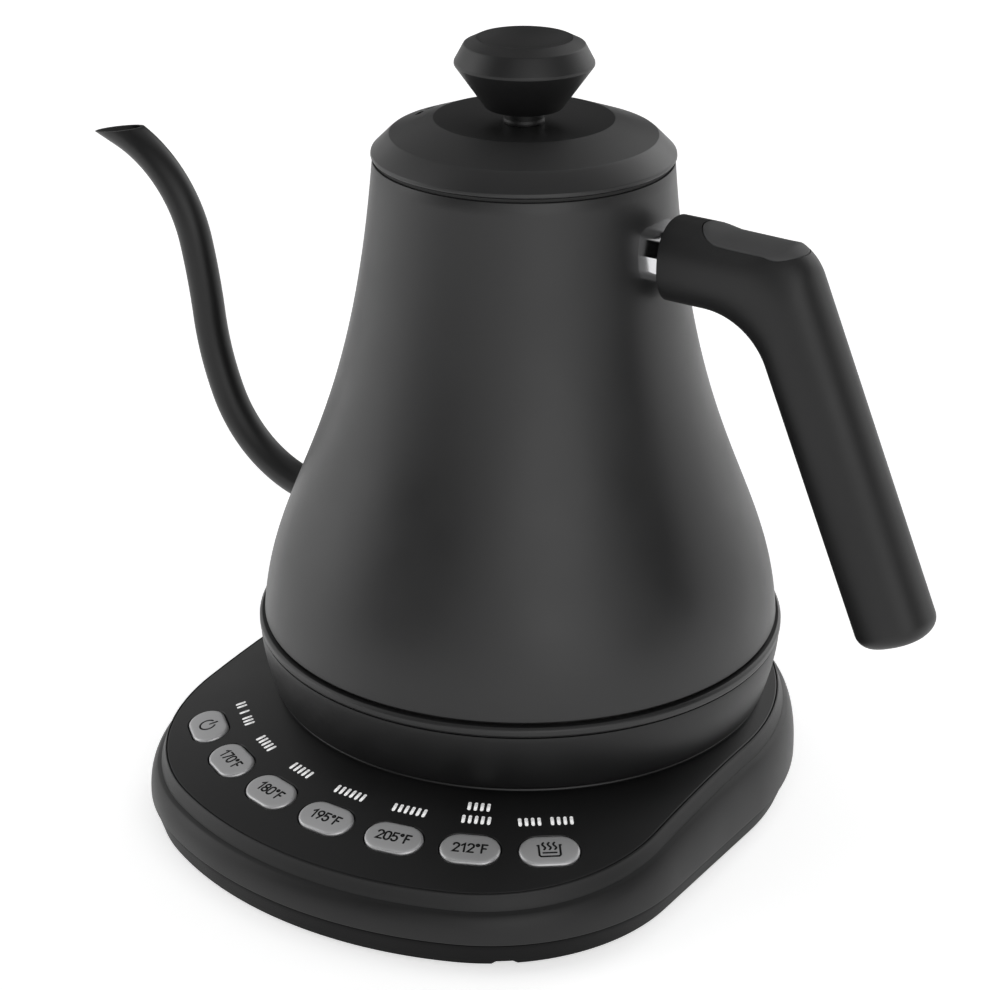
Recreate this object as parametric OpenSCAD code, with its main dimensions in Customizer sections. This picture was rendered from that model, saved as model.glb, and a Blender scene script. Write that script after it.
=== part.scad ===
// Gooseneck electric kettle on a powered base with seven buttons.
// Millimetres, +Z up. Origin: on the kettle's axis, at the table.
// +X is the handle's side, -X the spout's side, -Y the buttons' side.

/* [Display] */
// Node to build
// Angular steps of the round parts
round_steps = 96; // [64:8:128]

/* [Base] */
// Half width of the control panel
panel_half_w = 71.8; // [70:0.2:76]
// Radius of the panel's front edge
panel_front_r = 101.6; // [100:0.2:106]
// Radius of the panel's two front corners
panel_corner_r = 50.7; // [48:0.1:54]
// Height of the panel at the ring of buttons
panel_z = 23.0; // [22.6:0.1:23.6]
// Fall of the panel per millimetre outwards
panel_slope = 0.2244; // [0.2:0.0001:0.24]
// Width the base gains from the panel to its seam
base_flare = 4.8; // [4:0.1:5.4]
// Height of the seam between housing and bottom cover
base_seam_z = 7.9; // [7:0.1:9]
// Height of the feet
foot_h = 1.3; // [1:0.1:2]

/* [Buttons] */
// Radius of the ring of buttons
button_ring_r = 86.8; // [86:0.1:88]
// Angle between two buttons
button_step = 12.82; // [12.6:0.01:13]
// Length of a button
button_l = 15.0; // [14.4:0.1:15.6]
// Depth of a button
button_w = 9.8; // [9.4:0.1:10.4]
// Travel of a button
button_travel = 0.5; // [0.4:0.1:0.7]

/* [Kettle] */
// Height of the body's lower edge
body_z = 48; // [47.8:0.1:48.4]
// Radius of the body at its lower edge
body_r = 69; // [68.6:0.1:69.4]
// Radius of the body at its rim
rim_r = 38.1; // [38:0.1:38.4]
// Height of the body
body_h = 123.3; // [122.6:0.1:124]
// Thickness of the body's sheet
body_wall = 0.8; // [0.6:0.1:1]
// Height of the skirt's lower edge
skirt_z = 28.45; // [28.4:0.05:28.8]

/* [Spout] */
// Outer radius of the spout's tube
spout_r = 4.6; // [4.4:0.1:4.8]
// Wall of the spout's tube
spout_wall = 0.7; // [0.5:0.1:0.9]
// Height at which the spout leaves the body
spout_root_z = 63; // [62:0.5:64]

/* [Handle] */
// Half width of the grip
grip_half_w = 9.4; // [8.8:0.1:10]
// Half depth of the grip
grip_half_d = 10.6; // [10.2:0.05:11]
// Distance from the axis to the grip's collar
collar_x = 44.6; // [44.2:0.1:46]
// Height of the grip's collar
collar_z = 154; // [153.4:0.1:154.6]
// Lean of the grip from the vertical, degrees
grip_lean = 23.8; // [22.8:0.1:24.8]
// Length of the grip below the bend
grip_l = 93.2; // [86:0.1:95]

/* [Hidden] */
$fn = round_steps;
eps = 0.01;
gap = 0.3;
fit = 0.05;

// ---- base outline: front arc, corner arcs, straight sides, round back ----
corner_x = panel_half_w - panel_corner_r;
front_share = 0.82;
back_y = -1.7;
front_n = 24;
corner_n = 12;
side_n = 5;
back_n = 36;

function polar(r, a, c = [0, 0]) = [c[0] + r * cos(a), c[1] + r * sin(a)];

function outline(d) =
    let (
        w = panel_half_w + d, rf = panel_front_r + front_share * d, rc = panel_corner_r + d,
        corner_y = -sqrt((rf - rc) * (rf - rc) - corner_x * corner_x),
        corner_a = atan2(corner_y, corner_x))
    concat(
        [for (i = [0:front_n]) polar(rf, -180 - corner_a + (2 * corner_a + 180) * i / front_n)],
        [for (i = [1:corner_n]) polar(rc, corner_a * (1 - i / corner_n), [corner_x, corner_y])],
        [for (i = [1:side_n]) [w, corner_y + (back_y - corner_y) * i / side_n]],
        [for (i = [1:back_n]) polar(w, 180 * i / back_n, [0, back_y])],
        [for (i = [1:side_n]) [-w, back_y + (corner_y - back_y) * i / side_n]],
        [for (i = [1:corner_n - 1]) polar(rc, 180 - corner_a * i / corner_n, [-corner_x, corner_y])]
    );

function panel_height(r) = panel_z - panel_slope * (r - button_ring_r);

// A ring of the loft: offset, height, and whether the height follows the panel
function loft_ring(d, h, follow) =
    [for (p = outline(d)) [p[0], p[1], follow ? panel_height(norm(p)) + h : h]];

// The same number of points on a circle, each at its outline point's bearing
function circle_ring(r, h, follow) =
    [for (p = outline(0)) [
        r * p[0] / norm(p), r * p[1] / norm(p), follow ? panel_height(r) + h : h]];

function flat(rings) = [for (ring = rings) for (p = ring) p];

function total(list, i = 0) = i == len(list) - 1 ? list[i] : list[i] + total(list, i + 1);
function middle(ring) = total(ring) / len(ring);

// Closed tube of rings: the last ring joins the first
module ring_tube(rings) {
    m = len(rings);
    n = len(rings[0]);
    faces = [for (k = [0:m - 1]) for (i = [0:n - 1])
        let (a = k * n + i, b = k * n + (i + 1) % n)
        let (c = ((k + 1) % m) * n + (i + 1) % n, d = ((k + 1) % m) * n + i)
        each [[a, b, c], [a, c, d]]];
    polyhedron(points = flat(rings), faces = faces, convexity = 8);
}

// Stack of rings closed by two flat ends
module ring_stack(rings) {
    m = len(rings);
    n = len(rings[0]);
    sides = [for (k = [0:m - 2]) for (i = [0:n - 1])
        let (a = k * n + i, b = k * n + (i + 1) % n)
        let (c = (k + 1) * n + (i + 1) % n, d = (k + 1) * n + i)
        each [[a, b, c], [a, c, d]]];
    first = [for (i = [0:n - 1]) [m * n, (i + 1) % n, i]];
    last = [for (i = [0:n - 1]) [m * n + 1, (m - 1) * n + i, (m - 1) * n + (i + 1) % n]];
    ends = [middle(rings[0]), middle(rings[m - 1])];
    polyhedron(
        points = concat(flat(rings), ends), faces = concat(sides, first, last), convexity = 8);
}

lip_w = 0.6;
lip_drop = 3.9;
lip_flare = 1.2;
panel_t = 1.8;
ledge_w = 4.2;

// A ring of the bulging side, at fraction t of the way from the seam up to the lip
function side_ring(t) =
    let (d = lip_flare + (base_flare - lip_flare) * sqrt(1 - pow(t, 2.5) * 0.94))
    [for (p = outline(d)) [p[0], p[1],
        base_seam_z + (panel_height(norm(p)) - lip_drop - base_seam_z) * t]];

module base_housing() {
    color("#2f2f31")
    difference() {
        ring_tube([
            loft_ring(0, 0, true),
            loft_ring(-lip_w, 0, true),
            loft_ring(-lip_w, -panel_t - fit, true),
            loft_ring(-ledge_w, -panel_t - fit, true),
            loft_ring(-ledge_w, -lip_drop, true),
            loft_ring(-1.4, -lip_drop - 1.6, true),
            loft_ring(base_flare - 2.2, base_seam_z + 1.2, false),
            loft_ring(base_flare - 2.2, base_seam_z, false),
            loft_ring(base_flare, base_seam_z, false),
            loft_ring(base_flare, base_seam_z + 0.3, false),
            side_ring(0.35),
            side_ring(0.65),
            side_ring(0.85),
            loft_ring(lip_flare, -lip_drop, true)
        ]);
        translate([0, 60, gland_z]) rotate([-90, 0, 0]) cylinder(r = gland_r + fit, h = 30);
    }
}

cover_z = foot_h;
cover_t = 2.0;
cover_top = base_seam_z - 0.3;
cover_flare = 2.3;
notch_a = -58.3;

module drain_notch() {
    rotate([0, 0, notch_a])
    translate([90, 0, cover_z - 1])
    rotate([90, 0, 90])
    linear_extrude(20)
    polygon([[-3.8, 0], [3.8, 0], [3.4, 1], [2, 2], [-2, 2], [-3.4, 1]]);
}

module bottom_cover() {
    color("#262628")
    difference() {
        ring_stack([
            loft_ring(cover_flare - 0.6, cover_z, false),
            loft_ring(cover_flare, cover_z + 0.5, false),
            loft_ring(base_flare - 0.4, cover_top, false),
            loft_ring(base_flare - 2.6, cover_top, false),
            loft_ring(cover_flare - 1.6, cover_z + cover_t, false)
        ]);
        for (p = screw_spots) translate([p[0], p[1], cover_z - 1]) cylinder(r = 3.4, h = 1.8);
        for (p = screw_spots) translate([p[0], p[1], cover_z - 1]) cylinder(r = 1.6, h = 4);
        for (a = [0:60:300]) rotate([0, 0, a]) translate([30, 0, cover_z - 1]) cylinder(r = 1.6, h = 4);
        drain_notch();
    }
}

screw_r = 1.5;
screw_l = 9;
foot_spots = [[-52, -62], [52, -62], [-56, 30], [56, 30], [0, 60]];
screw_spots = [[-58, -34], [58, -34], [-38, 49], [38, 49]];

module base_feet() {
    color("#1b1b1c")
    for (p = foot_spots) translate([p[0], p[1], 0])
        rotate_extrude() polygon([[0, 0], [5.6, 0], [6, 0.4], [6, foot_h], [0, foot_h]]);
}

module base_screws() {
    color("#8e8f92")
    for (p = screw_spots) translate([p[0], p[1], cover_z + 0.1]) difference() {
        union() {
            cylinder(r = 3.1, h = 0.7 - eps);
            cylinder(r = screw_r, h = screw_l);
        }
        for (a = [0, 90]) rotate([0, 0, a]) translate([-1.6, -0.3, -1]) cube([3.2, 0.6, 1.4]);
    }
}

boss_top = 22.5;

module screw_bosses() {
    color("#3a3a3d")
    for (p = screw_spots) translate([p[0], p[1], cover_z + cover_t]) difference() {
        cylinder(r = 3.2, h = boss_top - cover_z - cover_t);
        translate([0, 0, -1]) cylinder(r = screw_r + fit, h = screw_l);
    }
}

seat_r = 66.2;
seat_z = skirt_z - 0.15;
panel_bore = 22;

module button_place(i) {
    rotate([0, 0, -90 + button_step * i])
    translate([button_ring_r, 0, panel_z])
    rotate([0, atan(panel_slope), 0])
    children();
}

module capsule(l, w, h) {
    linear_extrude(h) union() {
        square([w, l - w], center = true);
        translate([0, (l - w) / 2]) circle(d = w);
        translate([0, -(l - w) / 2]) circle(d = w);
    }
}

module control_panel() {
    color("#1d1d1f")
    difference() {
        ring_tube([
            loft_ring(-lip_w - 0.1, 0, true),
            circle_ring(seat_r, 0, true),
            circle_ring(seat_r - 0.2, seat_z, false),
            circle_ring(panel_bore, seat_z, false),
            circle_ring(panel_bore, seat_z - 3, false),
            circle_ring(seat_r - 1, seat_z - 3, false),
            circle_ring(seat_r, -panel_t, true),
            loft_ring(-ledge_w, -panel_t, true),
            loft_ring(-lip_w - 0.1, -panel_t, true)
        ]);
        for (i = [-3:3]) button_place(i) translate([0, 0, -4])
            capsule(button_l + 2 * gap, button_w + 2 * gap, 8);
    }
}

stem_r = 1.5;
flange_t = 0.8;
stem_end = 6.1;
cap_edge = 0.25;
cap_crown = 0.25;
cap_depth = panel_t + flange_t + button_travel + 0.2;

module button_cap(i) {
    color("#a9abae")
    button_place(i) {
        translate([0, 0, -cap_depth]) capsule(button_l, button_w, cap_depth + cap_edge);
        translate([0, 0, cap_edge - eps])
            capsule(button_l - 1.2, button_w - 1.2, cap_crown + eps);
        translate([0, 0, -stem_end]) cylinder(r = stem_r, h = stem_end - cap_depth + 0.6);
    }
}

module button_power() { button_cap(-3); }
module button_temp_1() { button_cap(-2); }
module button_temp_2() { button_cap(-1); }
module button_temp_3() { button_cap(0); }
module button_temp_4() { button_cap(1); }
module button_temp_5() { button_cap(2); }
module button_hold() { button_cap(3); }

// ---- electronics in the base ----
board_z = 9.4;
board_t = 1.6;
board_top = board_z + board_t;
board_span = 7 * button_step;

module arc_plate(r1, r2, h, span) {
    rotate([0, 0, -90 - span / 2])
    rotate_extrude(angle = span) translate([r1, 0]) square([r2 - r1, h]);
}

module control_board() {
    color("#1f5a38")
    translate([0, 0, board_z]) arc_plate(74, 95, board_t, board_span);
}

module board_posts() {
    color("#3a3a3d")
    union() {
        for (a = [-40, -14, 14, 40]) rotate([0, 0, -90 + a])
            translate([76.5, 0, cover_z + cover_t]) cylinder(r = 2, h = board_z - cover_z - cover_t);
        for (x = [-30, 30]) for (y = [29, 53])
            translate([x, y, cover_z + cover_t]) cylinder(r = 2, h = power_z - cover_z - cover_t);
    }
}

switch_h = 3.5;
switch_r = button_ring_r - stem_end * sin(atan(panel_slope));

module tact_switches() {
    color("#b8b9bb")
    for (i = [-3:3]) rotate([0, 0, -90 + button_step * i]) translate([switch_r, 0, board_top]) {
        translate([-3, -3, 0]) cube([6, 6, switch_h]);
        cylinder(r = 1.7, h = switch_h + 1.6);
    }
}

module indicator_leds() {
    color("#e9ecf2")
    for (i = [-3:3]) rotate([0, 0, -90 + button_step * i]) translate([91.6, 0, board_top]) {
        translate([-1, -1.6, 0]) cube([2, 3.2, 1.2]);
    }
}

module driver_chips() {
    color("#202022")
    for (a = [-25.6, -6.4, 6.4, 25.6]) rotate([0, 0, -90 + a]) translate([76.5, -3, board_top])
        cube([5, 6, 1.4]);
}

module buzzer() {
    color("#2a2a2c")
    rotate([0, 0, -90 + 32.4]) translate([78.4, 0, board_top]) difference() {
        cylinder(r = 3.6, h = 4.4);
        translate([0, 0, 3.4]) cylinder(r = 0.9, h = 2);
    }
}

power_z = 6.2;
power_top = power_z + board_t;

module power_board() {
    color("#1f5a38")
    translate([-34, 26, power_z]) cube([68, 30, board_t]);
}

module power_relay() {
    color("#28518e")
    translate([-28, 30, power_top]) cube([19, 15.5, 12.6]);
}

module power_capacitor() {
    color("#23315c")
    translate([0, 40, power_top]) cylinder(r = 5, h = 12);
}

module power_transformer() {
    color("#c9a032")
    translate([10, 32, power_top]) union() {
        translate([0, 2, 0]) cube([18, 12, 11]);
        translate([2, 0, 1]) cube([14, 16, 9]);
    }
}

module terminal_block() {
    color("#3f8f4c")
    translate([-7.5, 48, power_top]) difference() {
        cube([15, 7.6, 10]);
        for (k = [0:2]) translate([2.6 + 4.9 * k, 3.8, 6]) cylinder(r = 1.6, h = 5);
    }
}

gland_z = 13.6;
gland_r = 5;
gland_y = 77.2;
cord_r = 3.4;

module cord_gland() {
    color("#1b1b1c")
    translate([0, gland_y, gland_z]) rotate([90, 0, 0]) difference() {
        union() {
            cylinder(r = 6.4, h = 2.2);
            cylinder(r = gland_r, h = 10.6);
            translate([0, 0, 8.4]) cylinder(r = 6.2, h = 2.2);
        }
        translate([0, 0, -1]) cylinder(r = cord_r, h = 14);
    }
}

// ---- power connector: hub on the base, socket under the kettle ----
hub_r = 16.5;
hub_z = seat_z - 3;
hub_top = 37.5;
socket_r = 23;
contact_rings = [7, 11.5];

module base_connector() {
    color("#303033")
    difference() {
        translate([0, 0, hub_z]) rotate_extrude() polygon([
            [0, -6], [21.6, -6], [21.6, 3.2], [20.6, 3.6], [hub_r, 3.6],
            [hub_r, hub_top - hub_z - 1.5], [hub_r - 1.5, hub_top - hub_z], [0, hub_top - hub_z]
        ]);
        translate([0, 0, hub_top - 8]) cylinder(r = 3.2, h = 9);
        for (r = contact_rings) translate([0, 0, hub_top - 7]) difference() {
            cylinder(r = r + 1.2, h = 8);
            translate([0, 0, -1]) cylinder(r = r, h = 10);
        }
    }
}

module connector_contacts() {
    color("#c8a860")
    union() {
        translate([0, 0, hub_top - 8]) cylinder(r = 1.6, h = 6.6);
        for (r = contact_rings) translate([0, 0, hub_top - 7]) difference() {
            cylinder(r = r + 0.5, h = 5);
            translate([0, 0, -1]) cylinder(r = r + fit, h = 10);
        }
    }
}

module coupler_socket() {
    color("#2a2a2c")
    translate([0, 0, 30]) rotate_extrude() polygon([
        [hub_r + 0.6, 0], [socket_r, 0], [socket_r, 8.4], [socket_r + 3, 8.4], [socket_r + 3, 9.8],
        [0, 9.8], [0, 8.2], [hub_r + 0.6, 8.2]
    ]);
}

module socket_contacts() {
    color("#c8a860")
    translate([0, 0, 39.8]) union() {
        cylinder(r = 2.2, h = 2.2);
        for (r = contact_rings) difference() {
            cylinder(r = r + 1, h = 2.2);
            translate([0, 0, -1]) cylinder(r = r - 1, h = 5);
        }
    }
}

// ---- kettle body ----
body_curve = [[body_r, 0], [66.4, 35.5], [45, 45.4], [rim_r, body_h]];
body_n = 22;

function bez(p, t) = let (s = 1 - t)
    p[0] * s * s * s + p[1] * 3 * s * s * t + p[2] * 3 * s * t * t + p[3] * t * t * t;
function bez_d(p, t) = let (s = 1 - t)
    (p[1] - p[0]) * 3 * s * s + (p[2] - p[1]) * 6 * s * t + (p[3] - p[2]) * 3 * t * t;
function inset(p, t, d) = let (v = bez_d(p, t))
    bez(p, t) + [-v[1], v[0]] * d / norm(v);

function body_side(d) = [for (i = [0:body_n]) inset(body_curve, i / body_n, d)];
function reversed(list) = [for (i = [len(list) - 1:-1:0]) list[i]];

module body_solid(d, top) {
    rotate_extrude() polygon(concat(
        [[0, 0]], body_side(d), [[bez(body_curve, 1)[0] - d, body_h + top], [0, body_h + top]]));
}

spout_axis_z = spout_root_z - body_z;
spout_root_x = -65.9;

module kettle_body() {
    color("#3b3b3d")
    translate([0, 0, body_z]) difference() {
        rotate_extrude() polygon(concat(
            [[body_r - 1.4, 0], [body_r - 0.5, 0.1], [body_r - 0.05, 0.6]],
            [for (i = [1:body_n]) inset(body_curve, i / body_n, 0)],
            [[rim_r - 0.3, body_h + 0.25], [rim_r - body_wall, body_h + 0.2]],
            reversed([for (i = [1:body_n]) inset(body_curve, i / body_n, body_wall)]),
            [[body_r - 1.4, 1.2]]));
        translate([spout_root_x - 8, 0, spout_axis_z]) rotate([0, 90, 0])
            cylinder(r = spout_r - spout_wall, h = 20);
    }
}

module trim_ring() {
    color("#343436")
    translate([0, 0, body_z]) rotate_extrude() polygon([
        [body_r - 1.6, -0.3], [body_r + 0.7, -0.35], [body_r + 1.25, -0.65], [body_r + 1.4, -1.2],
        [body_r + 1.4, -2.4], [body_r + 1.2, -2.95], [body_r - 1.6, -2.95]
    ]);
}

skirt_top = body_z - 3.15;
skirt_curve = [[body_r + 1.2, skirt_top], [body_r + 1.1, 39], [body_r - 0.6, 33], [67, skirt_z]];
skirt_n = 10;

post_angles = [30, 150, 270];
post_r = 57;

module bottom_skirt() {
    color("#2c2c2e")
    difference() {
        rotate_extrude() polygon(concat(
            [for (i = [0:skirt_n]) bez(skirt_curve, i / skirt_n)],
            [[65.6, skirt_z], [65, skirt_z + 1], [socket_r + gap, skirt_z + 1],
             [socket_r + gap, skirt_z + 3], [65, skirt_z + 3], [66.8, 36], [67.8, 42],
             [67.8, skirt_top]]));
        for (a = post_angles) rotate([0, 0, a]) translate([post_r, 0, skirt_z])
            cylinder(r = 1.7, h = 6);
    }
}

// ---- bottom of the kettle: heater, sensors, fasteners ----
module heater_plate() {
    color("#b9bcc0")
    translate([0, 0, body_z + 1.3]) rotate_extrude() polygon([
        [0, 0], [body_r - 3.2, 0], [body_r - 1.5, 0.4], [body_r - 1.5, 1.6], [body_r - 4, 1.6],
        [body_r - 6, 0.9], [0, 0.9]
    ]);
}

module heater_spreader() {
    color("#c9ccd0")
    translate([0, 0, body_z - 1.6]) cylinder(r = 52, h = 2.9);
}

module heating_element() {
    color("#7c7f84")
    translate([0, 0, body_z - 4.9]) {
        rotate([0, 0, 100]) rotate_extrude(angle = 340) translate([40, 0]) circle(r = 3.25, $fn = 32);
        for (a = [100, 80]) rotate([0, 0, a]) translate([40, 0, -6]) cylinder(r = 1.6, h = 6);
    }
}

module bottom_gasket() {
    color("#d8d4cc")
    translate([0, 0, body_z - 2.2]) difference() {
        cylinder(r = body_r - 1.9, h = 3.45);
        translate([0, 0, -1]) cylinder(r = body_r - 5, h = 6);
    }
}

module thermal_cutout() {
    color("#4a4038")
    translate([0, 28, body_z - 7.2]) union() {
        translate([0, 0, 2]) cylinder(r = 7.2, h = 3.5);
        translate([-9, -2.4, 0]) cube([18, 4.8, 2]);
    }
}

module temperature_sensor() {
    color("#cfd2d6")
    translate([0, -28, body_z - 4.4]) union() {
        cylinder(r = 2.2, h = 2.7);
        translate([0, 0, -2]) cylinder(r = 4, h = 2);
    }
}

module skirt_screws() {
    color("#8e8f92")
    for (a = post_angles) rotate([0, 0, a]) translate([post_r, 0, skirt_z + 0.45]) difference() {
        union() {
            cylinder(r = 2.8, h = 0.5);
            cylinder(r = screw_r, h = screw_l);
        }
        for (b = [0, 90]) rotate([0, 0, b]) translate([-1.6, -0.3, -1]) cube([3.2, 0.6, 1.2]);
    }
}

module skirt_posts() {
    color("#3a3a3d")
    for (a = post_angles) rotate([0, 0, a]) translate([post_r, 0, skirt_z + 3.05]) difference() {
        cylinder(r = 3.4, h = body_z + 1.25 - skirt_z - 3.05);
        translate([0, 0, -1]) cylinder(r = screw_r + fit, h = screw_l);
    }
}

// ---- spout: a bent tube of arcs; each bend is [radius, turn in degrees] ----
bends = [[37.4, 67.3], [82.2, 16.1], [183, -6.6], [39, -56.6]];
bend_cuts = [13, 3, 2, 11];
root_tail = 5;
tip_l = 22;
tip_cut_a = 11.3;
tip_lip = [-147.8, 155];
tube_n = 28;
weld_flare = [2.6, 2.6, 0.8, 0.2];

// State along the spout: x, z and heading, 0 pointing away from the body
function turned(s, r, turn) = let (
        q = r * sign(turn), a = s[2] + turn,
        c = [s[0] + q * sin(s[2]), s[1] + q * cos(s[2])])
    [c[0] - q * sin(a), c[1] - q * cos(a), a];
function bend_start(i) = i == 0 ? [spout_root_x, spout_root_z, 0]
    : turned(bend_start(i - 1), bends[i - 1][0], bends[i - 1][1]);

function spout_states() = let (last = bend_start(len(bends)))
    concat(
        [[spout_root_x + root_tail, spout_root_z, 0]],
        [for (i = [0:len(bends) - 1]) for (k = [0:bend_cuts[i] - 1])
            k == 0 ? bend_start(i)
                : turned(bend_start(i), bends[i][0], bends[i][1] * k / bend_cuts[i])],
        [last],
        [[last[0] - tip_l * cos(last[2]), last[1] + tip_l * sin(last[2]), last[2]]]);

function tube_ring(s, r) = [for (k = [0:tube_n - 1]) let (a = 360 * k / tube_n)
    [s[0] + r * cos(a) * sin(s[2]), r * sin(a), s[1] + r * cos(a) * cos(s[2])]];

// Radius of the tube's outside at its k-th state: a weld flare at the root
function outer_r(k) = spout_r + (k < len(weld_flare) ? weld_flare[k] : 0);

module gooseneck_spout() {
    states = spout_states();
    m = len(states);
    color("#2b2b2d")
    difference() {
        ring_tube(concat(
            [for (k = [0:m - 1]) tube_ring(states[k], outer_r(k))],
            [for (k = [m - 1:-1:0]) tube_ring(states[k], spout_r - spout_wall)]));
        translate([0, 0, body_z]) body_solid(-fit, 1);
        translate([tip_lip[0], -10, tip_lip[1]]) rotate([0, -tip_cut_a, 0]) translate([-20, 0, 0])
            cube([60, 20, 20]);
    }
}

// ---- handle ----
arm_fall = 0.3;
bend_in_r = 20;
bend_out_r = 12.1;
grip_thin = 0.55;
section_n = 40;
section_power = 2.3;
end_round = 4.4;

arm_dir = [cos(arm_fall), -sin(arm_fall)];
arm_up = [sin(arm_fall), cos(arm_fall)];
grip_dir = [sin(grip_lean), -cos(grip_lean)];
grip_out = [cos(grip_lean), sin(grip_lean)];
collar = [collar_x, collar_z];
arm_l = 29.2;
elbow = collar + arm_dir * arm_l;
turn_cos = arm_up * grip_out;

// Point at distance a outside the arm's axis and b outside the grip's axis
function mitred(a, b) = elbow
    + (arm_up * (a - turn_cos * b) + grip_out * (b - turn_cos * a)) / (1 - turn_cos * turn_cos);

// A profile line of the handle at distance d outside its axis, rounded with radius r;
// past the elbow it runs nearer the axis
function past_elbow(d) = d - sign(d) * grip_thin;
function bend_centre(d, r) = mitred(d - r, past_elbow(d) - r);
bend_steps = 12;
up_a = 90 - arm_fall;
out_a = grip_lean;
function bend_points(d, r) = let (c = bend_centre(d, r)) [for (i = [0:bend_steps])
    let (a = up_a + (out_a - up_a) * i / bend_steps) c + r * [cos(a), sin(a)]];

arm_steps = 14;
grip_steps = 8;
function along(a, b, n) = [for (i = [0:n - 1]) a + (b - a) * i / n];

function profile_line(d, r) = let (
        b = bend_points(d, r),
        s = collar + arm_up * d, e = elbow + grip_out * past_elbow(d) + grip_dir * grip_l)
    concat(along(s, b[0], arm_steps), b,
        [for (i = [1:grip_steps]) b[bend_steps] + (e - grip_dir * end_round - b[bend_steps])
            * i / grip_steps]);

end_steps = 6;

// The arm's top is scooped out for the thumb: the scoop deepens from its start towards the
// elbow, fades out at both sides and runs level until the elbow falls below it
scoop_x = 53.8;
scoop_l = 8.5;
scoop_depth = 1.2;
scoop_w = 8.4;
scoop_fade = 3.4;
function share(v) = min(1, max(0, v));
function smooth(v) = v * v * (3 - 2 * v);
function crown(y) = collar_z
    + grip_half_d * pow(max(0, 1 - pow(abs(y) / grip_half_w, section_power)), 1 / section_power);
function scoop(x, y) = scoop_depth * smooth(share((scoop_w - abs(y)) / scoop_fade))
    * sin(90 * share((x - scoop_x - y * y / 12) / scoop_l));
function scooped(p) = p[0] < scoop_x || p[2] < collar_z ? p
    : [p[0], p[1], min(p[2], crown(p[1]) - scoop(p[0], p[1]))];

function handle_station(o, i, w) = let (c = (o + i) / 2, h = (o - i) / 2)
    [for (k = [0:section_n - 1]) let (
        a = 360 * k / section_n,
        ca = sign(cos(a)) * pow(abs(cos(a)), 2 / section_power),
        sa = sign(sin(a)) * pow(abs(sin(a)), 2 / section_power))
        scooped([c[0] + h[0] * ca, w * sa, c[1] + h[1] * ca])];

function grip_stations(d, w) = let (
        o = profile_line(d, bend_out_r - grip_half_d + d),
        q = profile_line(-d, bend_in_r + grip_half_d - d),
        m = len(o) - 1)
    concat(
        [for (k = [0:m]) handle_station(o[k], q[k], w)],
        [for (k = [1:end_steps]) let (
            a = 90 * k / end_steps, f = (d - end_round + end_round * cos(a)) / d,
            c = (o[m] + q[m]) / 2 + grip_dir * end_round * sin(a), h = (o[m] - q[m]) / 2 * f)
            handle_station(c + h, c - h, w - end_round + end_round * cos(a))]);

module grip_solid() {
    ring_stack(grip_stations(grip_half_d, grip_half_w));
}

thumb_x = 66.4;
thumb_l = 27.3;
thumb_w = 14;
thumb_t = 4.6;

module thumb_prism(grow, depth) {
    translate([collar_x, 0, collar_z]) rotate([0, arm_fall, 0])
    translate([thumb_x - collar_x, 0, grip_half_d - depth])
    rotate([0, 0, 90]) capsule(thumb_l + 2 * grow, thumb_w + 2 * grow, 8);
}

tang_r = 5;
tang_l = 16;

module handle_grip() {
    color("#29292b")
    difference() {
        grip_solid();
        thumb_prism(0.15, thumb_t + 0.05);
        translate([collar_x - 0.5, 0, collar_z]) rotate([0, 90 + arm_fall, 0])
            cylinder(r = tang_r + fit, h = tang_l + 1);
        ring_stack([for (x = [collar_x - 1, collar_x + neck_socket + fit])
            oval(x, bracket_half_w + 0.12, bracket_half_d + 0.12, bracket_power)]);
    }
}

module thumb_rest() {
    color("#3c3c3e")
    intersection() {
        grip_solid();
        thumb_prism(0, thumb_t);
    }
}

bracket_half_w = 8.5;
bracket_half_d = 6.8;
bracket_power = 2.5;
neck_z = collar_z + 0.8;
neck_socket = 1.4;

function oval(x, w, h, p) = [for (k = [0:section_n - 1]) let (
        a = 360 * k / section_n,
        ca = sign(cos(a)) * pow(abs(cos(a)), 2 / p), sa = sign(sin(a)) * pow(abs(sin(a)), 2 / p))
    [x, w * sa, neck_z + h * ca]];

module handle_bracket() {
    color("#c4c7cb")
    difference() {
        union() {
            ring_stack([
                oval(34, bracket_half_w, bracket_half_d, bracket_power),
                oval(collar_x + neck_socket, bracket_half_w, bracket_half_d, bracket_power)
            ]);
            translate([collar_x, 0, collar_z]) rotate([0, 90 + arm_fall, 0])
                cylinder(r = tang_r, h = tang_l);
        }
        translate([0, 0, body_z]) body_solid(-fit, 1);
    }
}

// ---- lid ----
lid_z = body_z + body_h + 1.1;

module lid_cover() {
    color("#303032")
    difference() {
        translate([0, 0, lid_z]) rotate_extrude() polygon([
            [36.6, 0], [37.9, 0], [38.3, 0.35], [38.35, 1.0], [38, 1.7], [37.2, 2.45], [34.4, 5.2],
            [34.2, 5.5], [33.6, 5.7], [22.6, 9.6], [22.2, 9.65], [21.6, 9.5], [14, 8.75], [6, 8.45],
            [3, 8.45], [3, 7.2], [14, 7.5], [22, 8.2], [33.4, 4.4], [36.6, 1.6]
        ]);
        for (a = [169, 180, 191]) rotate([0, 0, a]) translate([28.6, 0, lid_z])
            capsule(3.6, 1.5, 12);
    }
}

module lid_seal() {
    color("#161617")
    translate([0, 0, lid_z - 1.0]) rotate_extrude() polygon([
        [33.2, -3.5], [37, -3.5], [37, 0.2], [37.5, 0.2], [37.5, 0.95], [33.2, 0.95]
    ]);
}

liner_drop = 13;

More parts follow.
